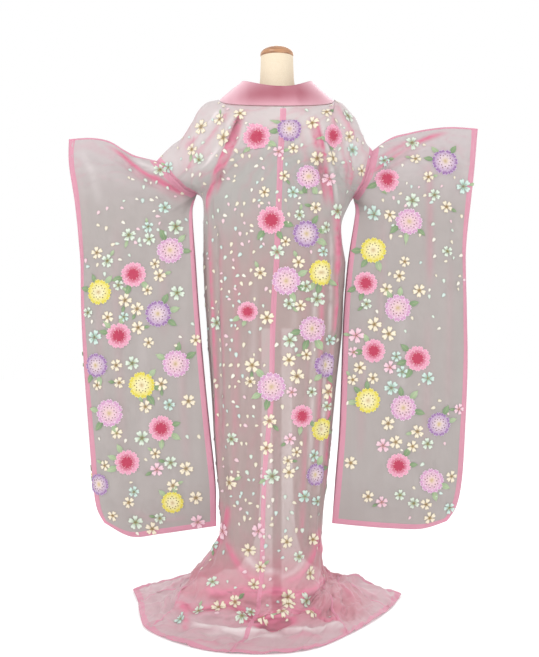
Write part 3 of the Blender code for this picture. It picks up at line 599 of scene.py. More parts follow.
@dataclass
class ClothGrid:
    """A fine grid of points on the middle of a cloth, with its outward normals.

    Attributes:
        points: Rows down the cloth, columns across it.
        facing: The outward normal at each point.
        tint: How much painted shade lies at each point: a deeper pink, a painted shadow past 1,
            and a painted highlight where negative.
    """

    points: Array
    facing: Array
    tint: Array

    @classmethod
    def formed(cls, points: Array, outward: Array, tint: Array | float = 0.0) -> "ClothGrid":
        """Makes a grid and its normals from points alone.

        Args:
            points: Rows and columns of points.
            outward: Rough outward directions, one for each point.
            tint: How much painted shade lies there, with painted highlight where negative.

        Returns:
            The grid.
        """
        across, down = np.gradient(points, axis=1), np.gradient(points, axis=0)
        normal = unit(np.cross(across, down) + 1e-12)
        sign = np.sign((normal * outward).sum())
        return cls(points, normal * sign, np.broadcast_to(tint, points.shape[:-1]))

    @property
    def rows(self) -> int:
        """Rows of points."""
        return self.points.shape[0]

    @property
    def columns(self) -> int:
        """Columns of points."""
        return self.points.shape[1]

    def part(self, first: int, last: int) -> "ClothGrid":
        """The columns from first up to, but not with, last."""
        span = slice(first, last)
        return ClothGrid(self.points[:, span], self.facing[:, span], self.tint[:, span])

    def inset(self, edge: Edge) -> "ClothGrid":
        """Draws one side edge in by half a seam's gap.

        Args:
            edge: The first or the last column.

        Returns:
            The narrower grid.
        """
        points = self.points.copy()
        outer, inner = (0, 1) if edge is Edge.FIRST_COLUMN else (-1, -2)
        points[:, outer] += unit(points[:, inner] - points[:, outer]) * SEAM_GAP / 2
        return ClothGrid(points, self.facing, self.tint)

    def at(self, c: Array, r: Array, lift: Array | float = 0.0) -> Array:
        """Points on the cloth at fractional columns and rows.

        Args:
            c: Column numbers.
            r: Row numbers.
            lift: How far outward of the cloth's middle.

        Returns:
            The points.
        """
        c = np.clip(np.asarray(c, float), -1, self.columns)
        r = np.clip(np.asarray(r, float), -1, self.rows)
        c, r = np.broadcast_arrays(c, r)
        i = np.clip(np.floor(r).astype(int), 0, self.rows - 2)
        j = np.clip(np.floor(c).astype(int), 0, self.columns - 2)
        u, v = (c - j)[..., None], (r - i)[..., None]

        def read(values: Array) -> Array:
            """Reads the grid between its points.

            Args:
                values: The grid's values.

            Returns:
                The values there.
            """
            upper = values[i, j] * (1 - u) + values[i, j + 1] * u
            lower = values[i + 1, j] * (1 - u) + values[i + 1, j + 1] * u
            return upper * (1 - v) + lower * v

        return read(self.points) + unit(read(self.facing)) * np.asarray(lift)[..., None]

    def nearest(self, target: Pair, floor: bool = False) -> Pair:
        """The column and row seen nearest to a place.

        Args:
            target: x from the form's axis and height, or on the floor x and y.
            floor: Whether the second number is y.

        Returns:
            The column and row.
        """
        gap = np.linalg.norm(placed(self.points, floor) - np.array(target), axis=-1)
        r, c = np.unravel_index(np.argmin(gap), gap.shape)
        return float(c), float(r)

    def steps(self, c: float, r: float) -> tuple[Array, Array]:
        """How far a point moves for one column across and one row down.

        Args:
            c: Its column.
            r: Its row.

        Returns:
            Both moves.
        """
        c = float(np.clip(c, 1, self.columns - 2))
        r = float(np.clip(r, 1, self.rows - 2))
        return self.at(c + 0.5, r) - self.at(c - 0.5, r), self.at(c, r + 0.5) - self.at(c, r - 0.5)

    def uv(self) -> Array:
        """Measures the cloth for the weave.

        Returns:
            Distances across and down it, for each point.
        """
        across = np.linalg.norm(np.diff(self.points, axis=1), axis=-1)
        down = np.linalg.norm(np.diff(self.points, axis=0), axis=-1)
        u = np.concatenate([np.zeros((self.rows, 1)), np.cumsum(across, 1)], 1)
        v = np.concatenate([np.zeros((1, self.columns)), np.cumsum(down, 0)], 0)
        return np.stack([u - u[:, -1:] / 2, v], -1)

    def area(self) -> float:
        """Measures the cloth's area.

        Returns:
            Square metres.
        """
        across = self.points[:-1, 1:] - self.points[:-1, :-1]
        down = self.points[1:, :-1] - self.points[:-1, :-1]
        return float(np.linalg.norm(np.cross(across, down), axis=-1).sum())


@dataclass
class MeshStock:
    """Faces gathered for one piece, with a colour and thread direction at each corner.

    Attributes:
        parts: Points, corners, corners to a face, colours and threads of each motif or strip.
        count: How many points they have.
    """

    parts: list[tuple[Array, ...]] = field(default_factory=list)
    count: int = 0

    def add(self, points: Array, faces: Sequence[Array], colours: Array, threads: Array) -> None:
        """Adds one motif or strip.

        Args:
            points: Its points.
            faces: Its faces, in one array for each number of corners.
            colours: A colour at each corner.
            threads: Distances across and along the stitches at each point.
        """
        corners = np.concatenate([group.ravel() for group in faces])
        sizes = np.concatenate([np.full(len(group), group.shape[1]) for group in faces])
        self.parts.append((points, corners + self.count, sizes, colours, threads[corners]))
        self.count += len(points)

    def piece(self, name: str, finish: bpy.types.Material) -> Cloth:
        """Makes the piece.

        Args:
            name: Its name.
            finish: Its material.

        Returns:
            The new object.
        """
        points, corners, sizes, colours, threads = map(np.concatenate, zip(*self.parts))
        mesh = bpy.data.meshes.new(name)
        mesh.vertices.add(self.count)
        mesh.vertices.foreach_set("co", points.ravel())
        mesh.loops.add(len(corners))
        mesh.loops.foreach_set("vertex_index", corners.astype(np.int32))
        mesh.polygons.add(len(sizes))
        starts = np.concatenate([[0], np.cumsum(sizes)[:-1]])
        mesh.polygons.foreach_set("loop_start", starts.astype(np.int32))
        dye = mesh.color_attributes.new("dye", "FLOAT_COLOR", "CORNER")
        rgba = np.concatenate([colours, np.ones((len(colours), 1))], 1)
        dye.data.foreach_set("color", rgba.astype(np.float32).ravel())
        layer = mesh.uv_layers.new(name="cloth")
        layer.uv.foreach_set("vector", threads.astype(np.float32).ravel())
        mesh.update(calc_edges=True)
        mesh.validate()
        mesh.shade_smooth()
        mesh.materials.append(finish)
        made = bpy.data.objects.new(name, mesh)
        bpy.context.scene.collection.objects.link(made)
        made.location = AXIS
        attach(made, "root")
        return made


def grid_faces(rows: int, columns: int, first: int = 0, turned: bool = False) -> Array:
    """The corners of a grid's faces, four for each.

    Args:
        rows: Rows of points.
        columns: Columns of points.
        first: Number of the first point.
        turned: Whether the faces look the other way.

    Returns:
        Point numbers, one face in each row.
    """
    r, c = np.meshgrid(np.arange(rows - 1), np.arange(columns - 1), indexing="ij")
    start = (first + r * columns + c).ravel()
    quads = np.stack([start, start + 1, start + columns + 1, start + columns], -1)
    return quads[:, ::-1] if turned else quads


@dataclass(frozen=True)
class CreaseShading:
    """Colours painted into creases: a deeper pink where the silk is doubled, which also serves as
    painted shade, a painted shadow in the deepest, and a painted highlight on bulges.
    """

    # doubled: deeper pink, also painted shade; shadowed: a painted shadow; thin: a painted
    # highlight on bulges
    doubled: Colour = srgb(224, 128, 156)
    shadowed: Colour = srgb(128, 84, 88)
    thin: Colour = srgb(240, 230, 230)

    def over(self, plain: Array, tint: Array) -> Array:
        """Lays the painted crease shade, shadow and highlight over the plain dye.

        Args:
            plain: The dye at each point.
            tint: How much painted shade lies there; past 1 it turns to painted shadow, and below 0
                to painted highlight.

        Returns:
            The colours.
        """
        # painted highlight where the tint is negative, painted shade where it is positive, painted
        # shadow past 1
        paler = (np.array(self.thin) - plain) * np.clip(-tint, 0, 1)
        dyed = mix(plain, np.array(self.doubled), np.clip(tint, 0, 1)) + paler
        return mix(dyed, np.array(self.shadowed), np.clip(tint - 1, 0, 1))


def shell(name: str, grid: ClothGrid, thickness: float, dye: Callable[[Array], Array],
          finish: bpy.types.Material) -> Cloth:
    """Makes a cloth as a thin closed shell.

    Args:
        name: The piece's name.
        grid: Its middle.
        thickness: From skin to skin.
        dye: Gives the colour at points.
        finish: Its material.

    Returns:
        The new object.
    """
    rows, columns = grid.rows, grid.columns
    number = rows * columns
    half = grid.facing * thickness / 2
    points = np.concatenate([(grid.points + half).reshape(-1, 3),
                             (grid.points - half).reshape(-1, 3)])
    across, down = np.gradient(grid.points, axis=1), np.gradient(grid.points, axis=0)
    turned = (np.cross(across, down) * grid.facing).sum() < 0
    numbers = np.arange(number).reshape(rows, columns)
    loop = np.concatenate([numbers[:, 0], numbers[-1, 1:], numbers[-2::-1, -1],
                           numbers[0, -2:0:-1]])
    ahead = np.roll(loop, -1)
    rim = np.stack([loop, ahead, ahead + number, loop + number], -1)
    quads = np.concatenate([
        grid_faces(rows, columns, 0, not turned),
        grid_faces(rows, columns, number, turned),
        rim[:, ::-1] if turned else rim,
    ])[:, ::-1]
    # the dye with painted crease shade, painted shadow and painted highlight laid over it
    colours = CreaseShading().over(dye(grid.points.reshape(-1, 3)), grid.tint.reshape(-1, 1))
    stock = MeshStock()
    stock.add(points, [quads], np.tile(colours, (2, 1))[quads.ravel()],
              np.tile(grid.uv().reshape(-1, 2), (2, 1)))
    return stock.piece(name, finish)


class BandStyle(Enum):
    """How a band lies, as its section: shares of its width inward, and of its lift."""

    BOUND_EDGE = ((1.0, 0.45), (0.94, 1.0), (0.5, 1.15), (0.06, 1.0), (-0.02, 0.0),
                  (0.06, -1.0), (0.5, -1.15), (0.94, -1.0), (1.0, -0.45))
    OVER_SEAM = ((-0.5, 0.45), (-0.44, 1.0), (-0.05, 1.25), (0.0, 0.9), (0.05, 1.25),
                 (0.44, 1.0), (0.5, 0.45))


@dataclass(frozen=True)
class Band:
    """A strip of doubled organza sewn along an edge or a seam.

    Attributes:
        width: How far it reaches onto the cloth.
        lift: How far it stands off the cloth's middle.
        style: Whether it goes round the edge.
        colour: Its colour.
    """

    width: float = 0.013
    lift: float = 0.0006
    style: BandStyle = BandStyle.BOUND_EDGE
    colour: Colour = srgb(234, 158, 182)

    def lay(self, stock: MeshStock, grid: ClothGrid, edge: Edge, first: float = 0.0,
            last: float = 1.0, over: float = 0.0, place: float | None = None) -> None:
        """Lays the band along one edge of a grid, or beside it.

        Args:
            stock: Takes its faces.
            grid: The cloth under it.
            edge: Which edge.
            first: Where it starts, as a share of the edge.
            last: Where it ends.
            over: How much higher it lies than the bands it crosses.
            place: The column or row that it follows, where that isn't the edge.
        """
        down_edge = edge in (Edge.FIRST_COLUMN, Edge.LAST_COLUMN)
        at_start = edge in (Edge.FIRST_COLUMN, Edge.TOP)
        end = (grid.rows if down_edge else grid.columns) - 1
        run = np.linspace(first * end, last * end, max(2, int((last - first) * end) + 1))
        if place is None:
            place = 0.0 if at_start else (grid.columns if down_edge else grid.rows) - 1.0
        inward = 1.0 if at_start else -1.0

        def on_cloth(reach: Array | float, lift: Array | float = 0.0) -> Array:
            """Points beside the line that the band follows."""
            beside = place + reach * np.ones_like(run)
            return grid.at(beside, run, lift) if down_edge else grid.at(run, beside, lift)

        here = on_cloth(0.0)
        spacing = np.maximum(np.linalg.norm(on_cloth(inward) - here, axis=-1), 1e-4)
        length = np.concatenate([[0], np.cumsum(np.linalg.norm(np.diff(here, axis=0), axis=1))])
        strip, threads = [], []
        for share, height in self.style.value:
            lift = np.full_like(run, (self.lift + over) * height)
            strip.append(on_cloth(share * self.width / spacing * inward, lift))
            threads.append(np.stack([np.full_like(run, share * self.width), length], -1))
        quads = grid_faces(len(run), len(strip))
        colours = np.tile(np.array(self.colour), (quads.size, 1))
        stock.add(np.stack(strip, 1).reshape(-1, 3), [quads], colours,
                  np.stack(threads, 1).reshape(-1, 2))


@dataclass
class BodyDrape:
    """The body of the kimono as it hangs: plain form, long folds, creases and crumples.

    w is the share of a half's width, from the centre back to the front edge, and v the number
    of a section, from the neck down to the hem.
    """

    square: float = 0.010  # how far the rings swell past an ellipse
    neck_share: float = 0.40  # share of the back panel's top that is neckline
    neck_out: float = 0.165
    neck_side_z: float = 1.449
    front_sweep: float = 0.035
    lowest: float = 0.0022
    lap_shares: tuple[float, ...] = (0.07, 0.13, 0.20, 0.33, 0.42)
    lap_depth: float = 0.020
    lap_inside: float = 0.034
    lap_outside: float = 0.090
    clear_tint: float = 0.3  # tints stronger than this come and go along their crease
    row_finish: int = 7  # rows of points for each row of the solids
    half_columns: int = 52
    front_columns: int = 38
    okumi_columns: int = 24
    backs: ClothGrid = field(init=False)
    fronts: dict[Side, ClothGrid] = field(init=False)
    okumi: dict[Side, ClothGrid] = field(init=False)
    v_rows: Array = field(init=False)

    def __post_init__(self) -> None:
        """Drapes the back, both fronts and both overlaps."""
        places = row_places(SECTIONS[:-1] + TRAIN[:-1], self.row_finish)
        v = self.v_rows = np.array(places + [float(LAST_SECTION)])
        first, low = int(np.argmax(v >= ARMPIT)), v >= UNDER_ARM
        seam, edge = self.okumi_seam(v), np.ones_like(v)
        backs, back_tint = self.back_points()
        self.fronts, self.okumi = {}, {}
        side_columns = {Side.LEFT: 0, Side.RIGHT: -1}
        for side, c in side_columns.items():
            front, tint = self.front_points(side, v, np.full_like(v, SIDE_SEAM), seam,
                                            self.front_columns)
            sewn = (backs[first:, c] + front[first:, 0]) / 2
            backs[first:, c] = sewn
            front[first:, 0] = sewn
            self.fronts[side] = self.hung(front, tint)
            self.okumi[side] = self.hung(*self.front_points(side, v[low], seam[low], edge[low],
                                                            self.okumi_columns))
        self.backs = self.hung(backs, back_tint)
        for side, c in side_columns.items():
            back, front = self.backs.facing, self.fronts[side].facing
            both = unit(back[first:, c] + front[first:, 0])
            back[first:, c] = both
            front[first:, 0] = both

    @staticmethod
    def hung(points: Array, tint: Array) -> ClothGrid:
        """A grid that faces away from the dress form, and a little up."""
        return ClothGrid.formed(points, points * [1, 1, 0] + [0.0, 0.0, 0.02], tint)

    @staticmethod
    def okumi_seam(v: Array) -> Array:
        """Where the front panel ends: at the okumi's seam, or above it at the collar."""
        narrowing = mix(OKUMI_SEAM, OKUMI_TIP, ease((UNDER_ARM + 2.5 - v) / 2.5))
        return np.where(v < UNDER_ARM, 1.0, narrowing)

    def ring(self, side: Side, share: Array, v: Array, face: Face) -> Array:
        """A section of the body without folds.

        Args:
            side: The wearer's side.
            share: On the back 0 at the centre and 1 at the side; on the front 0 at the side.
            v: Section numbers.
            face: Back or front.

        Returns:
            The points.
        """

        def read(*names: str) -> list[Array]:
            """Reads columns of the body's table."""
            return [column(SECTIONS, name, v) for name in names]

        sign = side.value
        side_x, side_z, turn, gape = read(side.word + "_out", side.word + "_z", "turn", "gape")
        side_x, turn, edge_y = sign * side_x, np.radians(turn), face.value * gape
        if face is Face.BACK:
            x, y, z = read("back_x", "back_y", "back_z")
            angle, rise = share * turn, np.cos(share * math.pi / 2) ** 2
        else:
            x, y, z = read("front_out", "front_y", "front_z")
            x = x * sign
            angle, rise = (1 - share) * turn, np.sin(share * math.pi / 2) ** 2
        bulge = self.square * np.sin(2 * angle) ** 2 * (turn / (math.pi / 2)) ** 4
        across = np.sin(angle) / np.sin(turn)
        depth = (np.cos(angle) - np.cos(turn)) / (1 - np.cos(turn))
        return np.stack([
            mix(x, side_x, across) + sign * bulge,
            mix(edge_y, y, depth) + face.value * bulge,
            mix(side_z, z, rise),
        ], -1)

    def shoulder_line(self, side: Side, share: Array) -> Array:
        """The shoulder line.

        Args:
            side: The wearer's side.
            share: Places along it, from the collar to the armhole.

        Returns:
            The points.
        """
        ridge = SHOULDER[side]
        out, z = (column(ridge, name, share * (len(ridge) - 1)) for name in ("out", "z"))
        return np.stack([side.value * out, np.zeros_like(out), z], -1)

    def back_top(self, side: Side, s: Array) -> Array:
        """The back panel's top edge: half the neckline, then the shoulder line.

        Args:
            side: The wearer's side.
            s: Shares of the panel's width.

        Returns:
            The points.
        """
        neck = np.clip(s / self.neck_share, None, 1.0)
        first, quarter = SECTIONS[0], neck * math.pi / 2
        neckline = np.stack([
            mix(first.back_x, side.value * self.neck_out, np.sin(quarter)),
            first.back_y * np.cos(quarter),
            mix(first.back_z, self.neck_side_z, neck ** 2),
        ], -1)
        share = np.clip((s - self.neck_share) / (1 - self.neck_share), 0.0, None)
        ridge = self.shoulder_line(side, share)
        return np.where((s < self.neck_share)[..., None], neckline, ridge)

    @staticmethod
    def over_shoulder(top: Array, below: Array, lift: Array, v: Array) -> Array:
        """The rounded bend from the shoulder's top edge to the first full section.

        Args:
            top: The top edge's points.
            below: The section's points.
            lift: How high the bend reaches, as a share of the way up.
            v: Section numbers.

        Returns:
            The points.
        """
        height = mix(below[..., 2], top[..., 2], lift)
        bend = np.stack([top[..., 0], below[..., 1], height], -1)
        t = np.clip(v, None, 1.0)[..., None]
        return (1 - t) ** 2 * top + 2 * t * (1 - t) * bend + t * t * below

    def spread(self, side: Side, w: Array, v: Array, foot: Array) -> Array:
        """The train, where the ankle's ring opens out to the hem's line.

        Args:
            side: The wearer's side.
            w: Shares of the half's width.
            v: Section numbers.
            foot: The ankle's ring.

        Returns:
            The points.
        """
        place = np.clip(v - TRAIN_START, 0.0, None)
        to_side = ease(w / SIDE_SEAM)
        to_front = ease((w - SIDE_SEAM) / (1 - SIDE_SEAM))

        def blended(kind: str = "") -> Array:
            """Blends three columns of the train's table round the body.

            Args:
                kind: The ending of their names.

            Returns:
                The values.
            """
            back, middle, front = (column(TRAIN, name + kind, place)
                                   for name in ("back", side.word, "front"))
            return mix(back, middle, to_side) + (front - middle) * to_front

        amount, height = blended(), blended("_z")
        hem = HEM[side]
        shares = [point.share for point in hem]
        at = np.interp(w, shares, range(len(hem)))
        at = at + np.minimum(w, 0) / shares[1] + np.maximum(w - 1, 0) / (1 - shares[-2])
        out, y = side.value * column(hem, "out", at), column(hem, "y", at)
        bow = np.sin(math.pi * np.clip(amount, 0, 1)) * ease((w - 0.5) / 0.5)
        return np.stack([
            mix(foot[..., 0], out, amount),
            mix(foot[..., 1], y, amount) + self.front_sweep * bow,
            height,
        ], -1)

    def base(self, side: Side, w: Array, v: Array, face: Face) -> Array:
        """The cloth's middle without folds.

        Args:
            side: The wearer's side.
            w: Shares of the half's width.
            v: Section numbers.
            face: Back or front.

        Returns:
            The points.
        """
        if face is Face.BACK:
            share = w / SIDE_SEAM
            top, lift = self.back_top(side, share), 0.5 + 0.5 * ease(share / self.neck_share)
        else:
            share = (w - SIDE_SEAM) / (1 - SIDE_SEAM)
            top, lift = self.shoulder_line(side, 1 - share), np.ones_like(share)
        ring = self.ring(side, share, np.clip(v, 1.0, TRAIN_START), face)
        yoke = self.over_shoulder(top, ring, lift, v)
        floor = self.spread(side, w, v, ring)
        points = np.where((v < 1.0)[..., None], yoke, ring)
        return np.where((v > TRAIN_START)[..., None], floor, points)

    @staticmethod
    def slopes(surface: Callable[[Array, Array], Array], w: Array, v: Array) -> Array:
        """Unit normals of a half's surface, outward on the right.

        Args:
            surface: Gives points at shares and section numbers.
            w: The shares.
            v: The section numbers.

        Returns:
            The normals.
        """
        across = surface(w + STEP_ACROSS, v) - surface(w - STEP_ACROSS, v)
        down = surface(w, v + STEP_DOWN) - surface(w, v - STEP_DOWN)
        return unit(np.cross(down, across))

    def fold_height(self, side: Side, w: Array, v: Array, face: Face) -> Array:
        """How far the long folds stand out.

        Args:
            side: The wearer's side.
            w: Shares of the half's width.
            v: Section numbers.
            face: Back or front.

        Returns:
            The heights.
        """
        height = np.zeros_like(w)
        for fold in FOLDS[side]:
            t = (v - fold.first) / (fold.last - fold.first)
            place = mix(fold.top, fold.bottom, np.clip(t, 0, 1))
            strength = ease(t * 5) * ease((1 - t) * 3)
            height += fold.depth * strength * swell(w - place, fold.width)
        if face is Face.BACK:
            place = along(self.lap_shares, np.clip(v, 0, len(self.lap_shares) - 1))
            width = np.where(w < place, self.lap_inside, self.lap_outside)
            strength = ease((v - 0.2) / 1.3) * ease((3.1 - v) / 1.5)
            height += self.lap_depth * strength * swell(w - place, width)
        floor = ease((v - TRAIN_START - 0.5) / 1.5) * ease((LAST_SECTION - v) / 1.5)
        for wave in CRUMPLES:
            across = np.cos((wave.across + wave.uneven * side.value) * w)
            height += wave.height * floor * across * np.cos(wave.down * v + wave.start)
        return height

    def point(self, side: Side, w: Array, v: Array, face: Face) -> Array:
        """The middle of the cloth with its long folds.

        Args:
            side: The wearer's side.
            w: Shares of the half's width.
            v: Section numbers.
            face: Back or front.

        Returns:
            The points.
        """
        outward = self.slopes(lambda a, b: self.base(side, a, b, face), w, v) * side.value
        height = self.fold_height(side, w, v, face)
        points = self.base(side, w, v, face) + outward * height[..., None]
        points[..., 2] = np.maximum(points[..., 2], self.lowest)
        return points

    def normal(self, side: Side, w: Array, v: Array, face: Face) -> Array:
        """The outward normal of the cloth with its long folds."""
        return self.slopes(lambda a, b: self.point(side, a, b, face), w, v) * side.value

    def creased(self, points: Array, normals: Array, w: Array, v: Array,
                marks: Sequence[Crease], seed: int) -> tuple[Array, Array]:
        """Adds the listed creases and the fine rumple of crisp silk.

        Args:
            points: The cloth's middle.
            normals: Its outward normals.
            w: Shares of a half's width, negative on the left.
            v: Section numbers.
            marks: The listed creases.
            seed: Picks the rumple.

        Returns:
            The creased points and their tints of painted shade and highlight.
        """
        height, tint = crease_height(points, marks)
        yoke = ease((3.4 - v) / 1.6)
        floor = ease((v - TRAIN_START - 0.7) / 1.3)
        upright = 1 - floor
        pleats, puckers, broken = (
            rumple.over(seed, w, v) for rumple in (PLEATS, PUCKERS, BROKEN))
        height += PLEATS.height * upright * pleats
        height += FINE_PLEATS.height * upright * FINE_PLEATS.over(seed, w, v)
        height += PUCKERS.height * yoke * puckers
        height += BROKEN.height * floor * broken
        height += FINE_BROKEN.height * floor * FINE_BROKEN.over(seed, w, v)
        # the tints paint shade and highlight: uneven along strong creases, painted shade on the
        # rumple's crests and painted highlight in its troughs
        clear = np.abs(tint) > self.clear_tint
        tint *= np.where(clear, 0.82 + 0.42 * UNEVEN.over(seed, w, v), 1.0)
        tint += PLEATS.tint * upright * pleats ** 3 + PUCKERS.tint * yoke * puckers ** 3
        tint += BROKEN.tint * floor * broken ** 3
        edge = ease(v / 0.35) * ease((LAST_SECTION + 0.6 - v) / 0.8)
        made = points + normals * (height * edge)[..., None]
        made[..., 2] = np.maximum(made[..., 2], self.lowest)
        return made, tint

    def back_points(self) -> tuple[Array, Array]:
        """Drapes the whole back.

        Returns:
            Its points from the left side seam to the right, and their tints.
        """
        v, w = np.meshgrid(self.v_rows, np.linspace(0, SIDE_SEAM, self.half_columns + 1),
                           indexing="ij")
        left, right = (self.point(side, w, v, Face.BACK) for side in Side)
        left_out, right_out = (self.normal(side, w, v, Face.BACK) for side in Side)

        def joined(left_half: Array, middle: Array, right_half: Array) -> Array:
            """Joins both halves at the centre back."""
            return np.concatenate([left_half[:, :0:-1], middle, right_half[:, 1:]], 1)

        points = joined(left, (left[:, :1] + right[:, :1]) / 2, right)
        facing = joined(left_out, unit(left_out[:, :1] + right_out[:, :1]), right_out)
        places, rows = joined(-w, w[:, :1], w), joined(v, v[:, :1], v)
        return self.creased(points, facing, places, rows, BACK_CREASES, 11)

    def front_points(self, side: Side, v_rows: Array, start: Array, end: Array,
                     columns: int) -> tuple[Array, Array]:
        """A front panel's points between two seams.

        Args:
            side: The wearer's side.
            v_rows: Section numbers of its rows.
            start: The seam nearer the side, as a share for each row.
            end: The other seam.
            columns: How many columns of faces it gets.

        Returns:
            The points and their tints.
        """
        w = mix(start[:, None], end[:, None], np.linspace(0, 1, columns + 1)[None, :])
        v = np.repeat(v_rows[:, None], columns + 1, 1)
        points, normals = (drape(side, w, v, Face.FRONT) for drape in (self.point, self.normal))
        return self.creased(points, normals, w * side.value, v, FRONT_CREASES[side],
                            23 + side.value)


def crease_height(points: Array, marks: Sequence[Crease]) -> tuple[Array, Array]:
    """How far the listed creases stand out from a cloth, and how they tint it.

    Args:
        points: The cloth's middle.
        marks: The creases.

    Returns:
        Heights and the tints that paint shade and highlight, one for each point.
    """
    z = points[..., 2]
    lying, standing = ease((0.10 - z) / 0.03), ease((z - 0.05) / 0.03)
    height, tint = np.zeros(z.shape), np.zeros(z.shape)
    for crease in marks:
        plane = placed(points, crease.floor)
        path = polyline(crease.path, np.linspace(0, 1, 6 * len(crease.path)))
        best, share = np.full(z.shape, np.inf), np.zeros(z.shape)
        for k, (here, step) in enumerate(zip(path, np.diff(path, axis=0))):
            t = np.clip(((plane - here) @ step) / (step @ step), 0, 1)
            gap = np.linalg.norm(plane - here - t[..., None] * step, axis=-1)
            share = np.where(gap < best, (k + t) / (len(path) - 1), share)
            best = np.minimum(gap, best)
        taper = ease(share * 4) * ease((1 - share) * 4)
        bump = swell(best, crease.width) * taper * (lying if crease.floor else standing)
        height += bump * crease.depth
        # painted shade along the crease, painted highlight where its tint is negative
        tint += bump * crease.tint
    return height, tint


@dataclass
class HangingSleeve:
    """One hanging sleeve: two faces between its top fold, cuff, foot and inner edge."""

    side: Side
    body: BodyDrape
    half_depth: float = 0.024
    lean: float = -0.046
    cuff_end: float = 0.34
    cuff_open: float = 0.6
    gusset_share: float = 0.30
    swag_depth: float = 0.016
    swag_fall: float = 0.22
    arm_gap: float = 0.0010
    arm_rows: int = 10  # rows of the solids beside the armhole
    lower_rows: int = 16  # and below it
    columns: int = 62
    row_finish: int = 6
    back_only: int = 4  # creases that only the back face has
    faces: dict[Face, ClothGrid] = field(init=False)

    def __post_init__(self) -> None:
        """Drapes both faces."""
        self.faces = {face: self.drape(face) for face in Face}

    def drape(self, face: Face) -> ClothGrid:
        """Drapes one face.

        Args:
            face: Back or front.

        Returns:
            Its grid.
        """
        sign, side, outline = face.value, self.side.value, SLEEVE_OUTLINES[self.side]
        all_rows, arm = self.arm_rows + self.lower_rows, self.arm_rows - 1
        row = np.linspace(0, all_rows - 1, (all_rows - 1) * self.row_finish + 1)
        v = np.interp(row, range(self.arm_rows), row_places(SECTIONS[:ARMPIT]))
        seam = self.body.point(self.side, np.full_like(v, SIDE_SEAM), v, face)
        s = np.linspace(0, 1, self.columns)[None, :]
        t = (row / row[-1])[:, None]
        patch = self.patch(outline, seam, row, s, t)
        depth, lean = self.hollow(seam, row, s, t), self.lean * ease(t / 0.75) * (1 - 0.35 * s)
        swag = self.swag_depth * swell(t - 0.05 - self.swag_fall * (1 - s), 0.05)
        swag = swag * ease(s / 0.2) * ease((1 - s) / 0.2) * (1.0 if face is Face.BACK else 0.4)
        points = np.stack([patch[..., 0] * side, lean + sign * (depth + swag), patch[..., 1]], -1)
        sewn = seam + np.array([side, 0.0, 0.0]) * self.arm_gap
        share = ease(1 - s / 0.12) * ease((arm + 1 - row[:, None]))
        offset = np.where((row <= arm)[:, None], sewn - points[:, 0], 0.0)
        offset[row > arm] = offset[row <= arm][-1]
        points = points + share[..., None] * offset[:, None]
        edge = ease(s / 0.08) * ease((1 - s) / 0.05) * ease(t / 0.03) * ease((1 - t) / 0.04)
        marks = SLEEVE_CREASES[self.side][0 if face is Face.BACK else self.back_only:]
        height, tint = crease_height(points, marks)
        out, seed = points[..., 0] * side, 40 + 5 * side + 2 * sign
        for rumple in (SLEEVE_PLEATS, SLEEVE_FINE):
            height = height + rumple.height * rumple.over(seed, out, t)
        head, puckers = ease((0.22 - t) / 0.14), SLEEVE_PUCKERS.over(seed, out, t)
        height += SLEEVE_PUCKERS.height * head * puckers
        # painted shade on the puckers' crests and painted highlight in their troughs
        tint = tint + SLEEVE_PUCKERS.tint * head * puckers ** 3
        points[..., 1] += sign * height * edge
        outward = np.broadcast_to([0.0, sign, 0.0], points.shape)
        return ClothGrid.formed(points, outward, tint * edge)

    def patch(self, outline: Outline, seam: Array, row: Array, s: Array, t: Array) -> Array:
        """Fills the sleeve's outline with a grid.

        Args:
            outline: The outline as it hangs.
            seam: The armhole's seam on this face.
            row: Row numbers.
            s: Shares across the sleeve.
            t: Shares down it.

        Returns:
            Distances out and heights.
        """
        arm = self.arm_rows - 1
        seam_out = np.stack([seam[:, 0] * self.side.value, seam[:, 2]], -1)
        below = polyline([seam_out[-1], *outline.inner],
                         np.clip((row - arm) / self.lower_rows, 0, 1))
        inner = np.where((row > arm)[:, None], below, seam_out)
        top = polyline([seam_out[0], *outline.top], s[0])
        bottom, outer = polyline(outline.bottom, s[0]), polyline(outline.outer, t[:, 0])
        s, t = s[..., None], t[..., None]
        return (
            (1 - s) * inner[:, None] + s * outer[:, None]
            + (1 - t) * top[None] + t * bottom[None]
            - (1 - s) * (1 - t) * top[0] - s * (1 - t) * top[-1]
            - (1 - s) * t * bottom[0] - s * t * bottom[-1]
        )

    def hollow(self, seam: Array, row: Array, s: Array, t: Array) -> Array:
        """How far one face stands off the sleeve's middle.

        Args:
            seam: The armhole's seam on this face.
            row: Row numbers.
            s: Shares across the sleeve.
            t: Shares down it.

        Returns:
            The distances.
        """
        closed = (PANEL_WALL + SEAM_GAP) / 2
        cuff = ease(t / 0.06) * ease((self.cuff_end - t) / 0.08)
        open_across = np.maximum(ease((1 - s) / 0.22), self.cuff_open * cuff)
        hollow = self.half_depth * ease(t / 0.16) * ease((1 - t) / 0.10) * open_across
        arm_share = (row / (self.arm_rows - 1))[:, None]
        below = self.half_depth * ease((arm_share - 1) * 2.5)
        gape = np.where(arm_share > 1, below, np.abs(seam[:, 1:2]))
        near = ease(1 - s / self.gusset_share) * ease((2.2 - arm_share) / 1.2)
        return closed + hollow * (1 - near) + gape * near


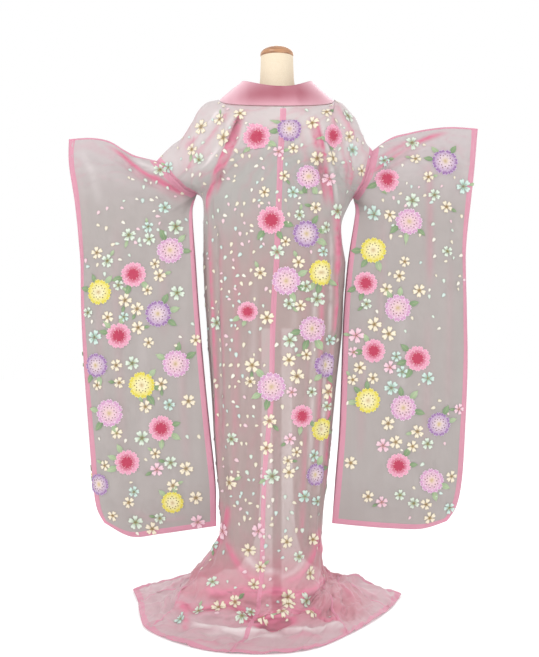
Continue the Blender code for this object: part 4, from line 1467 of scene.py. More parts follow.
@dataclass
class CollarBand:
    """The doubled collar: round the neck and down both fronts."""

    body: BodyDrape
    free: tuple[CollarEdge, ...] = table(
        CollarEdge,
        (0.100, -0.004, 1.500), (0.086, 0.114, 1.376), (0.074, 0.148, 1.286),
        (0.066, 0.160, 1.196), (0.052, 0.160, 1.084), (0.042, 0.155, 0.982),
        (0.037, 0.149, 0.882), (0.036, 0.146, 0.800),
    )
    seam_out: tuple[float, ...] = (0.165, 0.150, 0.136, 0.128, 0.114, 0.104, 0.100, 0.098)
    back_y: float = -0.098
    back_z: float = 1.468
    last: float = 6.25  # section number of its lower end
    roll: float = 0.004
    wall: float = 0.0025
    neck_gap: float = 0.0021
    bands: int = 16
    pale: Colour = srgb(240, 194, 206)
    deep: Colour = srgb(168, 98, 112)
    grid: ClothGrid = field(init=False)

    def __post_init__(self) -> None:
        """Shapes both halves and joins them at the centre back."""
        across = np.linspace(0, 1, self.bands)
        halves = []
        for side in Side:
            seam, outward, free = self.half(side)
            rounds = [mix(seam, free, t) + outward * self.roll * 4 * t * (1 - t) for t in across]
            halves.append((np.stack(rounds, 1), outward))
        points, outward = (np.concatenate([left[::-1], right[1:]]) for left, right in zip(*halves))
        rows, across = np.arange(len(points))[:, None], across[None, :]
        crumple = 0.0007 * ridged(71, rows / 9 + 3, across * 1.6 + rows / 31 + 5)
        crumple = crumple * ease(across * 3) * ease((1 - across) * 6)
        points = points + outward[:, None] * crumple[..., None]
        self.grid = ClothGrid.formed(points, np.repeat(outward[:, None], self.bands, 1))

    def seam_share(self, side: Side, v: Array) -> Array:
        """Where the collar's seam runs on the front.

        Args:
            side: The wearer's side.
            v: Section numbers.

        Returns:
            Shares of the half's width.
        """
        shares = np.linspace(OKUMI_SEAM, 1.0, 45)
        target = np.interp(v, range(len(self.seam_out)), self.seam_out)
        found = []
        for row, out in zip(v, target):
            here = self.body.point(side, shares, np.full_like(shares, row), Face.FRONT)
            reach = here[:, 0] * side.value
            found.append(np.interp(out, reach[::-1], shares[::-1]))
        return np.where(v < UNDER_ARM + 1, 1.0, found)

    def half(self, side: Side) -> tuple[Array, Array, Array]:
        """One half from the centre back to its lower end.

        Args:
            side: The wearer's side.

        Returns:
            The seam's points, their outward normals, and the free edge's points.
        """
        body, first, sign = self.body, self.free[0], side.value
        s = np.linspace(0.0, body.neck_share, 19)
        v = body.v_rows[::2]
        v = np.append(v[(v > 0.1) & (v < self.last)], self.last)
        back = (side, s * SIDE_SEAM, 0 * s, Face.BACK)
        front = (side, self.seam_share(side, v), v, Face.FRONT)
        seam = np.concatenate([body.point(*back), body.point(*front)])
        outward = np.concatenate([body.normal(*back), body.normal(*front)])
        quarter = s / body.neck_share * math.pi / 2
        round_neck = np.stack([
            mix(SECTIONS[0].back_x, sign * first.out, np.sin(quarter)),
            mix(first.y, self.back_y, np.cos(quarter)),
            mix(self.back_z, first.z, np.sin(quarter) ** 2),
        ], -1)
        out, y, z = (column(self.free, name, v) for name in ("out", "y", "z"))
        free = np.concatenate([round_neck, np.stack([sign * out, y, z], -1)])
        lapped = np.concatenate([0 * s, ease((v - UNDER_ARM) / 0.8)])[:, None]
        stand_off = PANEL_WALL / 2 + self.wall / 2 + 2 * SEAM_GAP
        inward = unit(free - seam)
        seam = seam + outward * stand_off * lapped + inward * self.neck_gap * (1 - lapped)
        return seam, outward, free

    def dye(self, points: Array) -> Array:
        """Deep rose at the nape, paler round the neck and down the fronts.

        Args:
            points: Points of the collar.

        Returns:
            Their colours.
        """
        share = ease((points[:, 2] - 1.38) / 0.07) * ease((-0.02 - points[:, 1]) / 0.09)
        upright = 0.16 * ridged(75, points[:, 0] * 42 + 40, points[:, 2] * 3)
        share = np.clip(share * (0.9 + upright), 0, 1)
        return mix(np.array(self.pale), np.array(self.deep), share[:, None])


@dataclass(frozen=True)
class Thread:
    """The silks of one blossom, from 0 to 255: at its heart, its petals' tips and their edges.

    turn gives the shares of its radius between which the one gives way to the other, and
    edging how strongly the edges are drawn.
    """

    core: tuple[int, int, int]
    tip: tuple[int, int, int]
    edge: tuple[int, int, int]
    turn: Pair = (0.1, 0.9)
    edging: float = 0.7

    def colours(self, share: Array, shape: "Petal") -> Array:
        """Colours a petal.

        Args:
            share: How far out each point is, as a share of the blossom's radius.
            shape: The petal.

        Returns:
            A colour at each corner of its faces.
        """
        core, tip, edge = (np.array(srgb(*silk)) for silk in (self.core, self.tip, self.edge))
        share = ease((share - self.turn[0]) / (self.turn[1] - self.turn[0]))[:, None]
        colours = mix(core, tip, share)[shape.corners.ravel()]
        rim = np.repeat(shape.rim, 4)
        colours[rim] = mix(colours[rim], edge, self.edging)
        return colours * SILK_DEPTH


class Bloom(Enum):
    """The colours that the blossoms are worked in."""

    ROSE = Thread((186, 46, 82), (232, 162, 188), (250, 214, 224), (0.22, 0.78), 0.7)
    LILAC = Thread((232, 196, 206), (206, 152, 192), (250, 230, 240), (0.24, 0.86), 0.8)
    YELLOW = Thread((244, 236, 186), (222, 206, 66), (248, 242, 166), (0.22, 0.80), 0.8)
    PURPLE = Thread((222, 200, 212), (144, 100, 160), (222, 200, 226), (0.26, 0.92), 0.8)
    CREAM = Thread((160, 132, 72), (244, 234, 212), (190, 166, 116), (0.08, 0.48), 0.5)
    MINT = Thread((122, 154, 102), (226, 236, 224), (172, 186, 152), (0.08, 0.66), 0.5)
    AQUA = Thread((134, 176, 150), (212, 232, 226), (164, 188, 168), (0.08, 0.72), 0.5)
    PINK = Thread((222, 150, 176), (242, 210, 220), (222, 172, 188), (0.10, 0.60), 0.5)


SILK_DEPTH = 0.87  # how deep the threads' colours look beside their dyed samples
SMALL_BLOOMS = (Bloom.CREAM, Bloom.CREAM, Bloom.MINT, Bloom.AQUA, Bloom.PINK, Bloom.CREAM,
                Bloom.CREAM, Bloom.MINT)
SMALL_WIDTHS = (0.030, 0.046)
PETAL_LENGTHS = (0.009, 0.0150)
FALLEN_SILKS = tuple(Thread(*silks, edging=0.6) for silks in (
    ((240, 234, 218), (230, 220, 198), (184, 168, 132)),
    ((240, 216, 220), (230, 194, 204), (206, 164, 176)),
    ((228, 236, 226), (206, 220, 208), (158, 174, 150)),
    ((246, 242, 234), (236, 230, 216), (172, 164, 146)),
    ((240, 234, 218), (230, 220, 198), (184, 168, 132)),
    ((220, 234, 228), (198, 218, 212), (154, 174, 160)),
))
LEAF_SILKS = table(
    Thread,
    ((78, 106, 70), (134, 160, 120), (176, 180, 136)),
    ((106, 134, 94), (170, 190, 152), (200, 198, 158)),
)
FILAMENT = Thread((170, 128, 66), (206, 168, 96), (206, 168, 96))
PALE_FILAMENT = Thread((232, 208, 160), (250, 240, 220), (250, 240, 220))
ANTHER = Thread((96, 58, 48), (112, 70, 52), (96, 58, 48))
# of a large blossom: petals, their length as a share of its radius, lift, turn of the colour
ROUNDS = ((11, 1.00, 0.0011, 1.0), (9, 0.76, 0.0017, 1.12), (7, 0.50, 0.0022, 1.4))


class Petal(NamedTuple):
    """A petal at size 1, pointing along y, as a grid of faces.

    The points are x, y and height. The faces in the rim have the edge's silk; a leaf has it
    along its rib.
    """

    points: Array
    corners: Array
    rim: Array

    @classmethod
    def cut(cls, rows: Sequence[float], halves: Sequence[float], columns: Sequence[float],
            notch: float, ribbed: bool = False) -> "Petal":
        """Makes a petal or leaf at size 1.

        Args:
            rows: Distances along it.
            halves: Half its width at each.
            columns: Places across, from -1 to 1.
            notch: How deep its tip is cut.
            ribbed: Whether a rib runs down its middle.

        Returns:
            The shape.
        """
        y, x = np.meshgrid(rows, columns, indexing="ij")
        tip = ease((y - 0.7) / 0.3)
        length = y - notch * tip * swell(x, 0.3) - 0.07 * tip * x ** 2
        height = (1 - x ** 2) * np.clip(np.sin(np.pi * np.clip(y * 0.92 + 0.06, 0, 1)), 0, 1)
        points = np.stack([x * np.array(halves)[:, None], length, height], -1)
        count, width = len(rows), len(columns)
        r, c = np.divmod(np.arange((count - 1) * (width - 1)), width - 1)
        rim = (c == 0) | (c == width - 2) | (r == count - 2)
        if ribbed:
            rim = (c == (width - 2) // 2) | (c == (width - 1) // 2)
        return cls(points.reshape(-1, 3), grid_faces(count, width), rim)


FULL_PETAL = Petal.cut((0.0, 0.28, 0.58, 0.84, 0.95, 1.0), (0.10, 0.50, 0.92, 0.94, 0.76, 0.56),
                       (-1, -0.86, -0.42, 0, 0.42, 0.86, 1), 0.13)
SMALL_PETAL = Petal.cut((0.0, 0.34, 0.72, 0.90, 1.0), (0.12, 0.66, 1.0, 0.86, 0.56),
                        (-1, -0.80, 0, 0.80, 1), 0.16)
FALLEN_PETAL = Petal.cut((0.0, 0.16, 0.42, 0.70, 0.90, 1.0), (0.16, 0.58, 0.94, 1.0, 0.74, 0.36),
                         (-1, -0.72, 0, 0.72, 1), 0.10)
LEAF = Petal.cut((0.0, 0.2, 0.45, 0.7, 0.88, 1.0), (0.06, 0.62, 1.0, 0.74, 0.34, 0.02),
                 (-1, -0.5, -0.06, 0.06, 0.5, 1), 0.0, ribbed=True)


@dataclass
class Embroidery:
    """Silk blossoms, leaves and loose petals worked on one cloth.

    Attributes:
        grid: The cloth.
        seed: Seeds where the small ones fall.
        floor: Whether places are given on the floor, by y and not by height.
        seam: The column past which the work belongs to the next panel.
        stock: Takes the work.
        beyond: Takes the work past the seam.
        taken: Middles and radii of what is worked already.
        stand: How far the thinnest stitches stand off.
        dome: How far the stitches swell.
    """

    grid: ClothGrid
    seed: int
    floor: bool = False
    seam: float | None = None
    stock: MeshStock = field(default_factory=MeshStock)
    beyond: MeshStock = field(default_factory=MeshStock)
    taken: list[tuple[float, float, float]] = field(default_factory=list)
    stand: float = 0.0006
    dome: float = 0.0006
    smooth: ClothGrid = field(init=False)
    rng: np.random.Generator = field(init=False)

    def __post_init__(self) -> None:
        """Seeds the needle and lays out the cloth without its creases, to measure on."""
        self.rng = np.random.default_rng(self.seed)
        points = self.grid.points
        for axis in (0, 1):
            widths = [(3, 3) if k == axis else (0, 0) for k in range(3)]
            padded = np.pad(points, widths, "reflect", reflect_type="odd")
            count = points.shape[axis]
            points = sum(np.take(padded, range(k, k + count), axis) for k in range(7)) / 7
        self.smooth = ClothGrid(points, self.grid.facing, self.grid.tint)

    def work(self, shape: Petal, place: Pair, turn: float, size: Pair, silk: Thread,
             lift: float, start: float = 0.0, radius: float = 0.0) -> None:
        """Works one petal or leaf.

        Args:
            shape: Its shape at size 1.
            place: Column and row of the motif's centre.
            turn: Its direction in radians, clockwise from up.
            size: Half width and length in metres.
            silk: Its silks.
            lift: How far it stands off the cloth's middle.
            start: How far it starts from the centre.
            radius: The blossom's radius, over which the colour turns from core to tip.
        """
        across, down = self.smooth.steps(*place)
        e1 = unit(across)
        e2 = unit(down - (down @ e1) * e1)
        x, y = shape.points[:, 0] * size[0], start + shape.points[:, 1] * size[1]
        wanted = np.stack([x * math.cos(turn) + y * math.sin(turn),
                           x * math.sin(turn) - y * math.cos(turn)], -1)
        middle = self.smooth.at(*place)
        c, r = np.full(len(x), place[0]), np.full(len(x), place[1])
        for _ in range(PLACING_ROUNDS):
            gone = self.smooth.at(c, r) - middle
            missing = wanted - np.stack([gone @ e1, gone @ e2], -1)
            rows = np.clip(missing[:, 1] / (down @ e2), -MOST_DOWN, MOST_DOWN)
            columns = (missing[:, 0] - rows * (down @ e1)) / np.linalg.norm(across)
            c = c + np.clip(columns, -MOST_ACROSS, MOST_ACROSS)
            r = r + rows
        points = self.grid.at(c, r, lift + self.stand + shape.points[:, 2] * self.dome)
        colours = silk.colours(np.hypot(x, y) / (radius or size[1]), shape)
        past = self.seam is not None and place[0] > self.seam
        stock = self.beyond if past else self.stock
        stock.add(points, [shape.corners], colours, np.stack([x, y], -1))

    def spot(self, x: float, z: float, radius: float, strict: bool = True) -> Pair | None:
        """Finds room on the cloth for a motif.

        Args:
            x: Distance from the form's axis.
            z: Height, or y on the floor.
            radius: The motif's radius.
            strict: Whether it has to stay clear of what is worked already.

        Returns:
            Its column and row, or None.
        """
        c, r = self.grid.nearest((x, z), self.floor)
        point = placed(self.grid.points[int(r), int(c)], self.floor)
        margin_c, margin_r = (radius * MOTIF_ROOM / max(np.linalg.norm(step), 1e-5)
                              for step in self.grid.steps(c, r))
        inside = (margin_c < c < self.grid.columns - 1 - margin_c
                  and margin_r < r < self.grid.rows - 1 - margin_r)
        if math.hypot(point[0] - x, point[1] - z) > MOTIF_STRAY or not inside:
            return None
        if strict and any(math.hypot(x - a, z - b) < (radius + other) * MOTIF_SPACING
                          for a, b, other in self.taken):
            return None
        self.taken.append((x, z, radius))
        return c, r

    def double_blossom(self, x: float, z: float, bloom: Bloom, width: float) -> None:
        """Works a large blossom with three rounds of petals.

        Args:
            x: Distance from the form's axis.
            z: Height, or y on the floor.
            bloom: Its colours.
            width: Its diameter.
        """
        place = self.spot(x, z, width / 2, strict=False)
        if not place:
            return
        radius = width / 2
        spin = self.rng.uniform(0, 1)
        self.leaves(place, radius, 3 if radius > 0.036 else 2)
        for count, length, lift, depth in ROUNDS:
            size = math.pi * length * radius / count * 0.86, length * radius
            for k in range(count):
                turn = 2 * math.pi * (k + spin) / count + self.rng.normal(0, 0.03)
                self.work(FULL_PETAL, place, turn, size, bloom.value,
                          lift + 0.00012 * (k % 2), 0.0, radius * depth)
            spin += 0.5
        if bloom is not Bloom.ROSE:
            self.stamens(place, radius * 0.47, 18, 0.0029, PALE_FILAMENT, 2.0)

    def small_blossom(self, x: float, z: float, bloom: Bloom, width: float) -> None:
        """Works a five-petalled blossom where there is room.

        Args:
            x: Distance from the form's axis.
            z: Height, or y on the floor.
            bloom: Its colours.
            width: Its diameter.
        """
        place = self.spot(x, z, width / 2)
        if not place:
            return
        radius, spin = width / 2, self.rng.uniform(0, 2 * math.pi)
        if self.rng.random() < 0.30:
            self.leaves(place, radius, 1)
        for k in range(5):
            turn = spin + 2 * math.pi * k / 5 + self.rng.normal(0, 0.05)
            self.work(SMALL_PETAL, place, turn, (radius * 0.33, radius * 0.92), bloom.value,
                      0.0010 + 0.0001 * (k % 2), radius * 0.08, radius)
        self.stamens(place, radius * 0.50, 5, 0.0019)

    def stamens(self, place: Pair, length: float, count: int, lift: float,
                filament: Thread = FILAMENT, knot: float = 1.0) -> None:
        """Works the stamens: fine stitches, each with a dark knot.

        Args:
            place: Column and row of the blossom's centre.
            length: The longer ones' length.
            count: How many.
            lift: How far they stand off the cloth's middle.
            filament: Their silks.
            knot: The knots' size.
        """
        for k in range(count):
            turn = 2 * math.pi * (k + 0.5) / count
            reach = length * (1.0 if k % 2 else 0.74)
            self.work(LEAF, place, turn, (0.0006, reach), filament, lift)
            self.work(SMALL_PETAL, place, turn, (0.0008 * knot, 0.0017 * knot), ANTHER,
                      lift + 0.0002, reach)

    def leaves(self, place: Pair, radius: float, count: int) -> None:
        """Tucks leaves under a blossom.

        Args:
            place: Column and row of the blossom's centre.
            radius: The blossom's radius.
            count: How many leaves.
        """
        first = self.rng.uniform(0, 2 * math.pi)
        for k in range(count):
            turn = first + k * self.rng.uniform(0.7, 1.1)
            length = radius * self.rng.uniform(0.62, 0.85) + 0.007
            silk = LEAF_SILKS[int(self.rng.integers(len(LEAF_SILKS)))]
            self.work(LEAF, place, turn, (length * 0.24, length), silk, 0.0009, radius * 0.72,
                      radius * 0.72 + length)

    def loose_petal(self, x: float, z: float) -> None:
        """Works one falling petal where there is room.

        Args:
            x: Distance from the form's axis.
            z: Height, or y on the floor.
        """
        size = float(self.rng.uniform(*PETAL_LENGTHS))
        place = self.spot(x, z, size * 0.6)
        if place:
            silk = FALLEN_SILKS[int(self.rng.integers(len(FALLEN_SILKS)))]
            self.work(FALLEN_PETAL, place, self.rng.normal(0, 0.7), (size * 0.34, size), silk,
                      0.0008, -size / 2, size * 0.5)

    def drift(self, path: Sequence[Pair], spread: float, blossoms: int, petals: int) -> None:
        """Scatters small blossoms and petals along a stream.

        Args:
            path: The stream's middle.
            spread: How far it scatters.
            blossoms: How many blossoms are tried.
            petals: How many petals are tried.
        """
        line = polyline(path, self.rng.random(blossoms + petals))
        wide = np.where(np.arange(len(line)) < blossoms, spread, spread * 1.5)
        line = line + self.rng.normal(0, 1, line.shape) * wide[:, None]
        for k, (x, z) in enumerate(line):
            if k < blossoms:
                kind = SMALL_BLOOMS[int(self.rng.integers(len(SMALL_BLOOMS)))]
                self.small_blossom(x, z, kind, float(self.rng.uniform(*SMALL_WIDTHS)))
            else:
                self.loose_petal(x, z)


class Motif(NamedTuple):
    """A large blossom's place on a cloth: x from the form's axis, height, colours, width."""

    x: float
    z: float
    bloom: Bloom
    width: float


BACK_MOTIFS = table(
    Motif,
    (-0.060, 1.322, Bloom.ROSE, 0.080), (0.030, 1.345, Bloom.PURPLE, 0.072),
    (0.150, 1.330, Bloom.ROSE, 0.062), (0.085, 1.215, Bloom.LILAC, 0.070),
    (-0.020, 1.095, Bloom.ROSE, 0.080), (0.080, 1.060, Bloom.PURPLE, 0.078),
    (0.118, 0.955, Bloom.YELLOW, 0.074), (0.022, 0.930, Bloom.LILAC, 0.082),
    (-0.080, 0.845, Bloom.ROSE, 0.060), (0.092, 0.800, Bloom.LILAC, 0.076),
    (0.128, 0.700, Bloom.PURPLE, 0.072), (-0.015, 0.640, Bloom.LILAC, 0.082),
    (0.066, 0.565, Bloom.ROSE, 0.066), (0.118, 0.520, Bloom.YELLOW, 0.066),
    (0.104, 0.400, Bloom.PURPLE, 0.066),
)
SLEEVE_MOTIFS = {
    Side.LEFT: table(
        Motif,
        (-0.30, 1.02, Bloom.LILAC, 0.078), (-0.40, 0.95, Bloom.ROSE, 0.075),
        (-0.50, 0.90, Bloom.YELLOW, 0.075), (-0.33, 0.84, Bloom.PURPLE, 0.078),
        (-0.44, 0.78, Bloom.ROSE, 0.075), (-0.28, 0.70, Bloom.LILAC, 0.080),
        (-0.51, 0.70, Bloom.PURPLE, 0.072), (-0.38, 0.64, Bloom.YELLOW, 0.078),
        (-0.47, 0.56, Bloom.LILAC, 0.082), (-0.32, 0.52, Bloom.ROSE, 0.075),
        (-0.42, 0.43, Bloom.ROSE, 0.074), (-0.50, 0.36, Bloom.PURPLE, 0.064),
        (-0.29, 0.31, Bloom.YELLOW, 0.066),
    ),
    Side.RIGHT: table(
        Motif,
        (0.31, 1.22, Bloom.ROSE, 0.072), (0.47, 1.27, Bloom.PURPLE, 0.078),
        (0.37, 1.10, Bloom.LILAC, 0.080), (0.27, 1.02, Bloom.YELLOW, 0.075),
        (0.25, 0.93, Bloom.ROSE, 0.070), (0.34, 0.86, Bloom.LILAC, 0.080),
        (0.27, 0.74, Bloom.ROSE, 0.070), (0.39, 0.72, Bloom.ROSE, 0.075),
        (0.25, 0.60, Bloom.YELLOW, 0.074), (0.35, 0.58, Bloom.LILAC, 0.076),
        (0.45, 0.53, Bloom.PURPLE, 0.070), (0.34, 0.42, Bloom.ROSE, 0.072),
        (0.43, 0.38, Bloom.LILAC, 0.072),
    ),
}
# of small blossoms and petals: middle, spread, and how many of each are tried
BACK_STREAMS = (
    (mm(70, 1300, 80, 1150, 40, 980, 60, 780, 50, 620, 90, 380), 0.045, 330, 60),
    (mm(-170, 260, -200, 180, -230, 120), 0.022, 26, 10),
    (mm(-100, 360, 20, 280, -40, 160, 60, 120), 0.050, 12, 80),
    (mm(-130, 1150, -130, 850, -100, 550, -90, 300), 0.034, 6, 250),
    (mm(-140, 1260, -20, 1240, 20, 1200, -80, 1120, -120, 1020), 0.036, 4, 90),
    (mm(-120, 1380, -220, 1300, -280, 1240), 0.030, 18, 60),
    (mm(120, 1380, 200, 1320, 240, 1240), 0.030, 18, 60),
)
FLOOR_STREAM = mm(-220, -180, -100, -210, 20, -200, 120, -190)
SLEEVE_STREAMS = {
    Side.LEFT: mm(-300, 1050, -450, 850, -400, 550, -360, 280),
    Side.RIGHT: mm(460, 1270, 330, 1150, 270, 950, 300, 700, 360, 450, 420, 280),
}
SLEEVE_PETALS = {
    Side.LEFT: mm(-260, 1220, -360, 1160, -440, 1060, -500, 960),
    Side.RIGHT: mm(280, 1260, 340, 1200, 440, 1100, 480, 900),
}


class Recipe:
    """A material while it is mixed.

    Attributes:
        material: The material.
        shader: Its shader.
    """

    def __init__(self, name: str, **surface: float) -> None:
        """Starts a material from a plain shader.

        Args:
            name: The material's name.
            **surface: The shader's inputs, with underscores for spaces.
        """
        self.material = bpy.data.materials.new(name)
        self.material.use_nodes = True
        self.shader = self.material.node_tree.nodes["Principled BSDF"]
        self.fill(self.shader, surface)

    @staticmethod
    def fill(node: bpy.types.Node, inputs: dict[str, float]) -> None:
        """Sets a node's inputs, named with underscores for spaces."""
        for name, value in inputs.items():
            node.inputs[name.replace("_", " ")].default_value = value

    def node(self, kind: str, **inputs: float) -> bpy.types.Node:
        """Adds a shader node.

        Args:
            kind: Its kind.
            **inputs: Its inputs, with underscores for spaces.

        Returns:
            The node.
        """
        made = self.material.node_tree.nodes.new("ShaderNode" + kind)
        self.fill(made, inputs)
        return made

    def link(self, node: bpy.types.Node, output: str, to: bpy.types.Node, name: str | int) -> None:
        """Links one node's output to another's input."""
        self.material.node_tree.links.new(node.outputs[output], to.inputs[name])

    def mottled(self, amount: float, scale: float) -> None:
        """Gives the shader the cloth's own dye, slightly uneven.

        Args:
            amount: How uneven.
            scale: Patches to the metre.
        """
        dye, place = self.node("VertexColor"), self.node("TexCoord")
        dye.layer_name = "dye"
        noise = self.node("TexNoise", Scale=scale, Detail=4.0)
        spread = self.node("MapRange", To_Min=1.0 - amount, To_Max=1.0 + amount)
        tint = self.node("VectorMath")
        tint.operation = "SCALE"
        self.link(place, "Object", noise, "Vector")
        self.link(noise, "Fac", spread, "Value")
        self.link(dye, "Color", tint, "Vector")
        self.link(spread, "Result", tint, "Scale")
        self.link(tint, "Vector", self.shader, "Base Color")

    def threads(self, directions: str, pitch: float, uneven: float = 0.0) -> list[bpy.types.Node]:
        """Threads or stitches side by side.

        Args:
            directions: X, Y or both.
            pitch: From thread to thread, in metres.
            uneven: How far they stray.

        Returns:
            A node for each direction.
        """
        place = self.node("UVMap")
        place.uv_map = "cloth"
        sets = []
        for direction in directions:
            waves = self.node("TexWave", Scale=WAVE_SCALE / pitch, Distortion=uneven)
            waves.bands_direction = direction
            self.link(place, "UV", waves, "Vector")
            sets.append(waves)
        return sets

    def raised(self, node: bpy.types.Node, output: str, strength: float, distance: float) -> None:
        """Gives the surface a relief.

        Args:
            node: The node with its height.
            output: The height's name.
            strength: How strong it is.
            distance: How high it stands.
        """
        bump = self.node("Bump", Strength=strength, Distance=distance)
        self.link(node, output, bump, "Height")
        self.link(bump, "Normal", self.shader, "Normal")


@dataclass(frozen=True)
class SheerSilk:
    """Dyed silk organza: thin enough to see through, crisp, and softly bright at its folds."""

    name: str
    cover: float
    roughness: float = 0.46
    sheen: float = 0.35
    sheen_roughness: float = 0.4
    gloss: float = 0.28
    weave: float = 0.0005
    weave_strength: float = 0.12
    weave_height: float = 0.0002
    mottle: float = 0.05
    patches: float = 14.0

    def make(self) -> bpy.types.Material:
        """Makes the material.

        Returns:
            The material.
        """
        recipe = Recipe(self.name, Roughness=self.roughness, Alpha=self.cover,
                        Sheen_Weight=self.sheen, Sheen_Roughness=self.sheen_roughness,
                        Specular_IOR_Level=self.gloss)
        recipe.mottled(self.mottle, self.patches)
        higher = recipe.node("Math")
        higher.operation = "MAXIMUM"
        for k, threads in enumerate(recipe.threads("XY", self.weave)):
            recipe.link(threads, "Fac", higher, k)
        recipe.raised(higher, "Value", self.weave_strength, self.weave_height)
        return recipe.material


@dataclass(frozen=True)
class EmbroiderySilk:
    """Glossy stitches side by side, in the colour of each petal."""

    name: str = "embroidery_silk"
    roughness: float = 0.42
    sheen: float = 0.15
    mottle: float = 0.04
    patches: float = 160.0
    stitch: float = 0.0006
    stitch_uneven: float = 0.6
    stitch_strength: float = 0.25
    stitch_height: float = 0.0003

    def make(self) -> bpy.types.Material:
        """Makes the material.

        Returns:
            The material.
        """
        recipe = Recipe(self.name, Roughness=self.roughness, Sheen_Weight=self.sheen)
        recipe.mottled(self.mottle, self.patches)
        stitches, = recipe.threads("X", self.stitch, self.stitch_uneven)
        recipe.raised(stitches, "Fac", self.stitch_strength, self.stitch_height)
        return recipe.material


@dataclass(frozen=True)
class FormFinish:
    """A finish of the dress form: its colour, how it varies, and its surface."""

    name: str
    pale: Colour
    deep: Colour
    grain: tuple[float, float, float]
    roughness: float
    metallic: float = 0.0
    coat: float = 0.0
    relief: float = 0.1
    relief_height: float = 0.0004
    detail: float = 6.0
    turn: Pair = (0.32, 0.66)  # where the deep colour gives way to the pale one

    def make(self) -> bpy.types.Material:
        """Makes the material.

        Returns:
            The material.
        """
        recipe = Recipe(self.name, Roughness=self.roughness, Metallic=self.metallic,
                        Coat_Weight=self.coat)
        place, stretch = recipe.node("TexCoord"), recipe.node("Mapping", Scale=self.grain)
        noise = recipe.node("TexNoise", Scale=1.0, Detail=self.detail)
        ramp = recipe.node("ValToRGB")
        colours = self.deep, self.pale
        for stop, colour, share in zip(ramp.color_ramp.elements, colours, self.turn):
            stop.color, stop.position = (*colour, 1.0), share
        recipe.link(place, "Object", stretch, "Vector")
        recipe.link(stretch, "Vector", noise, "Vector")
        recipe.link(noise, "Fac", ramp, "Fac")
        recipe.link(ramp, "Color", recipe.shader, "Base Color")
        recipe.raised(noise, "Fac", self.relief, self.relief_height)
        return recipe.material


@dataclass(frozen=True)
class BodyDye:
    """The body's colour: pale at the shoulders as a painted highlight, mauve dye below, pink dye
    from the shins to the train.
    """

    # shoulder: the pale colour of the painted highlight at the shoulders
    shoulder: Colour = srgb(216, 206, 206)
    back: Colour = srgb(182, 179, 176)
    skirt: Colour = srgb(181, 162, 159)
    foot: Colour = srgb(202, 136, 148)
    train: Colour = srgb(208, 176, 182)

    def __call__(self, points: Array) -> Array:
        """Dyes the body and paints the highlight at its shoulders.

        Args:
            points: Points of the cloth.

        Returns:
            Their colours.
        """
        shoulder, back, skirt, foot, train = (np.array(colour) for colour in (
            self.shoulder, self.back, self.skirt, self.foot, self.train))
        x, y, z = (points[:, axis][:, None] for axis in range(3))
        # painted highlight: paler towards the shoulders
        upper = mix(back, shoulder, ease((z + 0.35 * np.abs(x) - 1.27) / 0.10))
        column_dye = mix(upper, skirt, ease((1.22 - z) / 0.30))
        low = ease((0.25 - z) / 0.17)
        lying = ease((0.09 - z) / 0.03) * ease((np.hypot(x, y) - 0.20) / 0.10)
        return mix(column_dye * (1 - low) + foot * low, train, lying)


@dataclass(frozen=True)
class SleeveDye:
    """The sleeves' dye: mauve-grey, paler and pinker at the shoulder."""

    lower: Colour = srgb(182, 174, 171)
    upper: Colour = srgb(206, 196, 197)

    def __call__(self, points: Array) -> Array:
        """Dyes a sleeve's points."""
        share = ease((points[:, 2] - 1.10) / 0.25)
        return mix(np.array(self.lower), np.array(self.upper), share[:, None])


